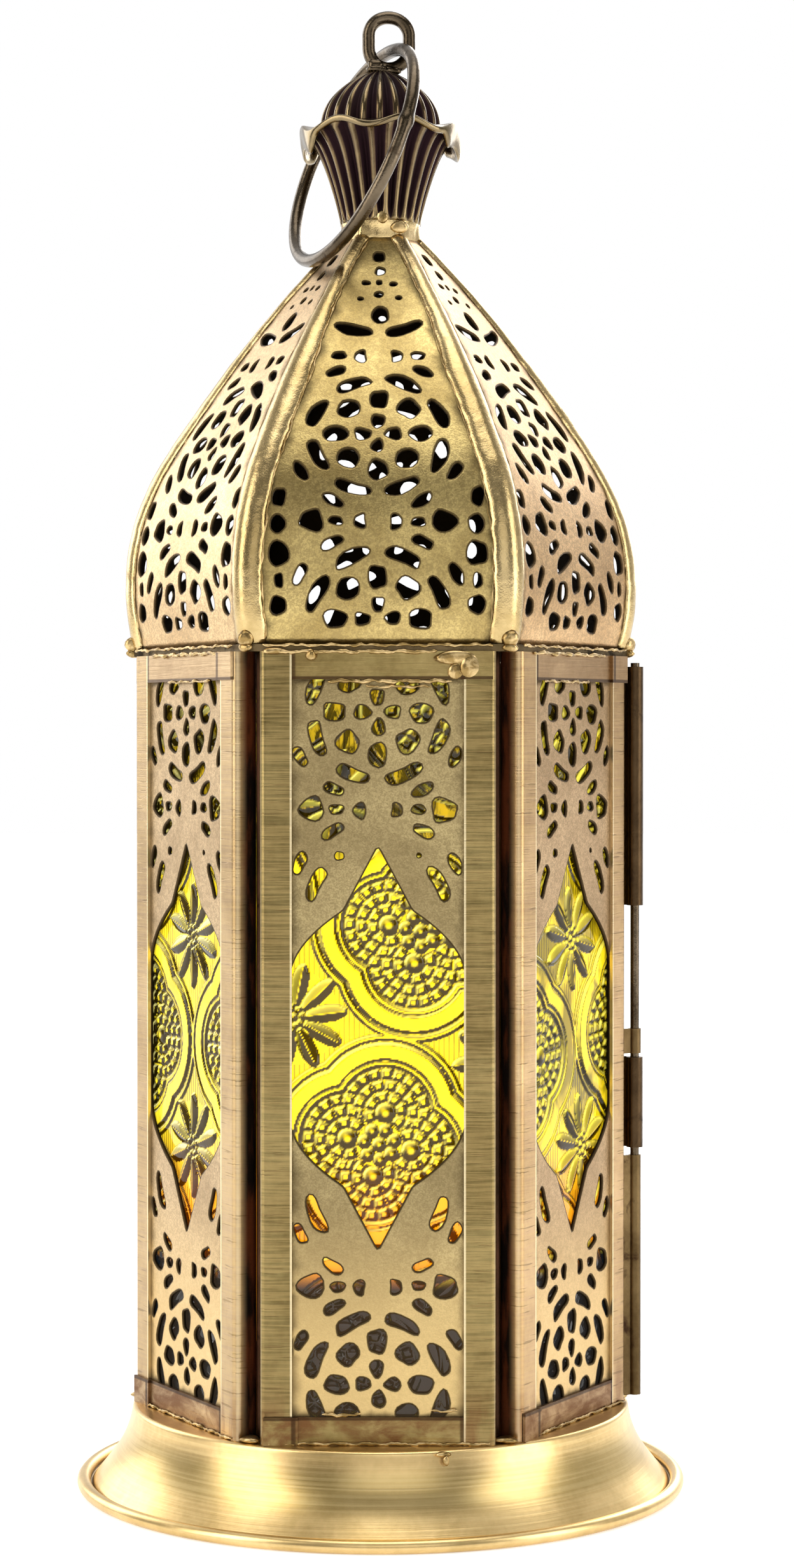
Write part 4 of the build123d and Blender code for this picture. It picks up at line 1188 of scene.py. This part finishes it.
cone_points, cone_faces, cone_mark = fluted(cone_profile, 24, 1.25, 21, 1.15, rim_ruffle)
cup_piece = put_mesh("fluted_cone", cone_points, cone_faces, "lantern", FLUTED, "finial_brass", cone_mark)
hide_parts("fluted_cup")

crown_profile = [
    (max(10.95 * (1 - u ** 2.2) ** 0.75, 1.5), CROWN_FOOT + 11.0 * u, 1.0 if u < 0.9 else 0.6, 0.0, 0.0)
    for u in np.linspace(0, 0.985, 30)]
crown_profile += [
    (0.35, 256.2, 0.0, 0.0, 0.0), (0.35, 255.0, 0.0, 0.0, 0.0), (6.0, 251.5, 0.0, 0.0, 0.0),
    (9.2, CROWN_FOOT, 0.0, 0.0, 0.0)]
crown_points, crown_faces, crown_mark = fluted(crown_profile, 22, 1.15, 33, 1.1)
cap_piece = put_mesh("fluted_crown", crown_points, crown_faces, "lantern", FLUTED, "finial_brass", crown_mark)
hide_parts("fluted_cap")


def neck_collar():
    """The collar that carries the dome's six sides into the round foot of the cone, a little lumpy."""
    angle = np.arange(96) * 2 * pi / 96
    from_side = (angle + radians(120)) % radians(60) - radians(30)
    apothem, height, roundness, lumpy = np.array([
        [3.0, 224.2, 0, 0], [6.1, 224.2, 0, 0], [6.55, 225.0, 0, 0.5], [6.5, 225.8, 0.05, 1],
        [6.55, 226.6, 0.25, 1], [6.75, 227.4, 0.6, 1], [7.1, CONE_FOOT, 1, 0.6], [7.0, 228.7, 1, 0],
        [3.0, 228.7, 1, 0]]).T
    corner = 1.0 / np.cos(from_side)[:, None]
    lump = 0.16 * wave(angle * 3, 61) + 0.08 * wave(angle * 9, 62)
    return turned(apothem * (corner + (1 - corner) * roundness) + lump[:, None] * lumpy, height, angle)


neck = put_mesh("neck_collar", *neck_collar(), "lantern", RIB, "rib_brass")
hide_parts("neck_disc")

# ---------------------------------------------------------------- wire eye and hanging ring
EYE_X, EYE_TOP, EYE_LOW, BEND = 1.45, 262.25, 260.25, 3.65


def eye_line():
    """The eye: two half circles joined by short straights, bent a little out of true by hand."""
    a = np.linspace(0, pi, 33)
    top = np.stack([EYE_X + BEND * np.cos(a), EYE_TOP + BEND * np.sin(a)], axis=1)
    low = np.stack([EYE_X - BEND * np.cos(a), EYE_LOW - BEND * np.sin(a)], axis=1)
    flat = np.vstack([top, low])
    t = np.arange(len(flat)) * 2 * pi / len(flat)
    x = flat[:, 0] + 0.10 * np.sin(2 * t + 1)
    z = flat[:, 1] - 0.05 + 0.05 * np.sin(3 * t)
    return np.stack([x, 0.12 * np.sin(t + 2), z], axis=1)


eye_points = eye_line()
eye_radius = 1.16 + 0.04 * wave(np.arange(len(eye_points)) / 5, 4)
eye_bar = loop_bar(eye_points, eye_radius, np.array([0, 1.0, 0]), 20)
shank_path = np.stack([np.linspace(0.2, 1.0, 12), np.zeros(12), np.linspace(253.4, 257.0, 12)], axis=1)
shank = swept(shank_path, np.linspace(1.7, 1.3, 12), np.array([0, 1.0, 0]), 16)
lumps = [
    blob((-0.3, -0.4, 256.2), (2.2, 1.9, 0.9), 1),
    blob((-1.0, -0.5, 257.1), (1.4, 1.3, 1.2), 2),
    blob((1.8, -0.2, 256.1), (1.9, 1.6, 0.9), 3),
]
eye = put_mesh("wire_eye", *joined([eye_bar, shank] + lumps), "lantern", WIRE, "wire_brass")
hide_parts("eye_loop")

RING_YAW, RING_LEAN, RING_R = radians(25), radians(21), 20.6
pivot = np.array([1.8, 0, 259.64])
swing_line = np.array([-sin(RING_YAW), cos(RING_YAW), 0])
side_line = np.array([cos(RING_YAW), sin(RING_YAW), 0])
to_centre = -sin(RING_LEAN) * side_line + np.array([0, 0, -cos(RING_LEAN)])
ring_normal = np.cross(swing_line, to_centre)
ring_centre = pivot + RING_R * to_centre
turn_angle = np.arange(200) * 2 * pi / 200
true_r = RING_R + 0.10 * np.sin(2 * turn_angle + 0.7) * np.sin(turn_angle / 2) ** 2
ring_path = ring_centre + true_r[:, None] * (
    -np.cos(turn_angle)[:, None] * to_centre + np.sin(turn_angle)[:, None] * swing_line)
joint_lump = np.exp(-((turn_angle - radians(278)) / 0.05) ** 2)
ring_radius = 1.19 + 0.03 * wave(turn_angle * 3, 9) + 0.30 * joint_lump
ring_bar = loop_bar(ring_path, ring_radius, ring_normal, 22)
ring = put_mesh("bent_ring", *ring_bar, "ring", WIRE, "wire_brass")
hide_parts("hanging_ring")


# ---------------------------------------------------------------- solder
def level_bead(steps, lift, z, start, end, size, seed):
    """An uneven bead of solder along a panel's edge, from start to end across it."""
    x = np.linspace(start, end, max(8, int(abs(end - start) * 2.2)))
    wobble = 0.22 * wave(x * 1.1, seed)
    path = np.stack([x, -(APOTHEM + lift) + 0.10 * wave(x, seed + 3), z + wobble], axis=1)
    radius = size * (0.75 + 0.45 * wave(x * 1.4, seed + 7))
    radius = np.clip(radius, 0.35 * size, 1.7 * size)
    radius[[0, -1]] *= 0.4
    bead_points, bead_faces = swept(path, radius, np.array([0, 0, 1.0]), 8)
    return turn(bead_points, steps), bead_faces


def seam_bead(steps, hand, start, end, size, seed):
    """A thin bead of solder up the edge of a rib, on one side of a gore."""
    s = np.linspace(start, end, 120)
    half = dome_line(s)[0] * TAN30 - rib_half(s) / cos(radians(30)) - 0.05
    x = hand * (half + 0.22 * wave(s / 2.2, seed) + 0.1 * wave(s * 1.5, seed + 2))
    path = on_gore(x, s, np.full_like(s, 0.12))
    radius = np.clip(size * (0.8 + 0.6 * wave(s * 1.1, seed + 4)), 0.3 * size, 1.8 * size)
    bead_points, bead_faces = swept(path, radius, np.array([1.0, 0, 0]), 7)
    return turn(bead_points, steps), bead_faces


CORNER = np.array([45.6 * sin(radians(30)), -45.6 * cos(radians(30)), 0.0])
CORNER_LUMPS = (   # height, share of the way out to the corner, size
    (152.2, 0.985, (1.5, 1.3, 1.5)), (150.6, 0.985, (1.3, 1.1, 0.8)), (15.6, 0.955, (2.0, 1.6, 0.6)))
solder_parts = []
for steps in range(6):
    seed = 100 + 20 * steps
    solder_parts.append(level_bead(steps, 0.1, 151.0, -19.5, 19.5, 0.30, seed))
    if PANELS[steps] != "door":
        solder_parts.append(level_bead(steps, 0.25, 149.9, -17.0 + steps, 10.0 + steps, 0.40, seed + 1))
        solder_parts.append(level_bead(steps, 0.2, 15.3, -19.0, 19.0, 0.34, seed + 2))
    solder_parts.append(seam_bead(steps, -1, 1.0, GORE_LENGTH - 1, 0.20 if steps == 0 else 0.10, seed + 3))
    solder_parts.append(seam_bead(steps, 1, 1.0, GORE_LENGTH - 1, 0.09, seed + 4))
    for k, (height, share, size) in enumerate(CORNER_LUMPS):
        lump_points, lump_faces = blob(CORNER * share + [0, 0, height], size, seed + k)
        solder_parts.append((turn(lump_points, steps), lump_faces))
solder_parts += [
    level_bead(0, 0.1, 144.9, -8.5, 12.5, 0.42, 301),
    level_bead(0, 0.05, 144.0, -2.0, 9.0, 0.30, 302),
    level_bead(0, -0.1, 20.2, -9.5, -3.0, 0.36, 303),
    level_bead(0, -0.1, 20.9, 9.0, 13.5, 0.26, 304),
    level_bead(5, 0.1, 145.1, -6.0, 11.0, 0.28, 305),
    level_bead(1, 0.1, 145.1, -12.0, 5.0, 0.28, 306),
    blob((13.2, -40.1, 148.9), (3.6, 0.5, 1.2), 311),
    blob((15.6, -40.1, 147.4), (2.0, 0.5, 2.1), 312),
    blob((13.2, -40.1, 146.6), (1.5, 0.5, 1.4), 313),
    blob((-11.2, -40.3, 149.3), (0.9, 0.6, 0.9), 314),
    blob((-17.6, -39.9, 150.0), (1.9, 0.6, 0.6), 315),
    blob((11.0, -44.6, 14.6), (1.3, 0.6, 0.5), 307),
    blob((11.6, -45.0, 13.6), (0.5, 0.4, 0.9), 308),
    blob((0.5, -7.0, 228.7), (1.0, 0.6, 1.2), 309),
    blob((3.6, -6.4, 227.0), (1.5, 0.6, 1.2), 316),
]
put_mesh("solder_beads", *joined(solder_parts), "lantern", SOLDER, "rail_brass")

# near-black bars closing the slit behind each upright groove, a painted shade of the dark gap between the
# panels; the two corners at the door stay open
gap_bars = []
for steps in (0, 3, 4, 5):
    height = np.linspace(15.8, 149.8, 60)
    radius = 40.45 + 0.05 * wave(height / 9, 500 + steps)
    path = np.stack([radius * sin(radians(30)), -radius * cos(radians(30)), height], axis=1)
    gap_points, gap_faces = swept(path, np.full(60, 0.62), np.array([1.0, 0, 0]), 8)
    gap_bars.append((turn(gap_points, steps), gap_faces))
put_mesh("corner_gap_shade", *joined(gap_bars), "lantern", GAP_SHADE, "rail_brass")

# ---------------------------------------------------------------- floor, light and camera
floor_points = np.array([[-4000, -4000, 0], [4000, -4000, 0], [4000, 4000, 0], [-4000, 4000, 0]], dtype=float)
floor_mesh = bpy.data.meshes.new("floor")
floor_mesh.from_pydata((floor_points * MM).tolist(), [], [(0, 1, 2, 3)])
floor = bpy.data.objects.new("floor", floor_mesh)
bpy.context.scene.collection.objects.link(floor)
floor_material, floor_shader, floor_place = start_material(
    "pale floor", Base_Color=(0.80, 0.80, 0.80, 1), Roughness=0.9, Emission_Strength=1.0)
floor_fade = step_between(length_of(floor_place), 0.06, 0.50)
wire(mixed(floor_fade, (0.45, 0.45, 0.45), (1.0, 1.0, 1.0)), floor_shader["Emission Color"])
floor_mesh.materials.append(floor_material)

world = bpy.data.worlds.new("studio")
bpy.context.scene.world = world
world.use_nodes = True
sky = world.node_tree
paths = new_node(sky, "ShaderNodeLightPath").outputs
seen = calc("MAXIMUM", Value(paths["Is Camera Ray"]), Value(paths["Is Transmission Ray"]))
_, away, up = parts_of(Value(new_node(sky, "ShaderNodeTexCoord").outputs["Generated"]))
room = mixed(step_between(up, -0.2, 0.9), (0.06, 0.06, 0.057), (0.20, 0.20, 0.19))
room = mixed(step_between(away, -0.25, 0.75), room, (0.92, 0.91, 0.90))
backdrop = sky.nodes["Background"].inputs
wire(mixed(seen, room, (1.0, 1.0, 1.0)), backdrop["Color"])
backdrop["Strength"].default_value = 1.0


def soft_light(name, place, aim, size, power, colour=(1, 1, 1)):
    lamp = bpy.data.lights.new(name, "AREA")
    lamp.shape = "RECTANGLE"
    lamp.size, lamp.size_y = size
    lamp.energy = power
    lamp.color = colour
    holder = bpy.data.objects.new(name, lamp)
    holder.location = place
    holder.rotation_euler = (Vector(aim) - Vector(place)).to_track_quat("-Z", "Y").to_euler()
    bpy.context.scene.collection.objects.link(holder)


soft_light("key", (-0.80, -0.45, 0.50), (0, 0, 0.13), (0.50, 0.90), 6.0, (1.0, 0.98, 0.95))
soft_light("fill", (0.85, -0.35, 0.35), (0, 0, 0.12), (0.50, 0.90), 4.8)
soft_light("front", (0.10, -0.95, 0.45), (0, 0, 0.12), (0.7, 0.5), 1.3)
soft_light("top", (0.05, -0.10, 0.95), (0, 0, 0.15), (0.6, 0.6), 3.5)
soft_light("left back", (-0.80, 0.62, 0.50), (0, 0, 0.14), (0.6, 0.7), 3.6)
soft_light("rim", (0.35, 0.75, 0.50), (0, 0, 0.14), (0.6, 0.6), 4.0)

eye_view = bpy.data.cameras.new("camera")
eye_view.lens = 73.85
eye_view.sensor_width = 36
eye_view.clip_start = 0.01
camera = bpy.data.objects.new("camera", eye_view)
camera.location = (0.0069, -0.5849, 0.1351)
camera.rotation_euler = Vector((-0.0067, 1.0, -0.014)).to_track_quat("-Z", "Y").to_euler()
bpy.context.scene.collection.objects.link(camera)
bpy.context.scene.camera = camera
bpy.context.scene.view_settings.view_transform = "Standard"
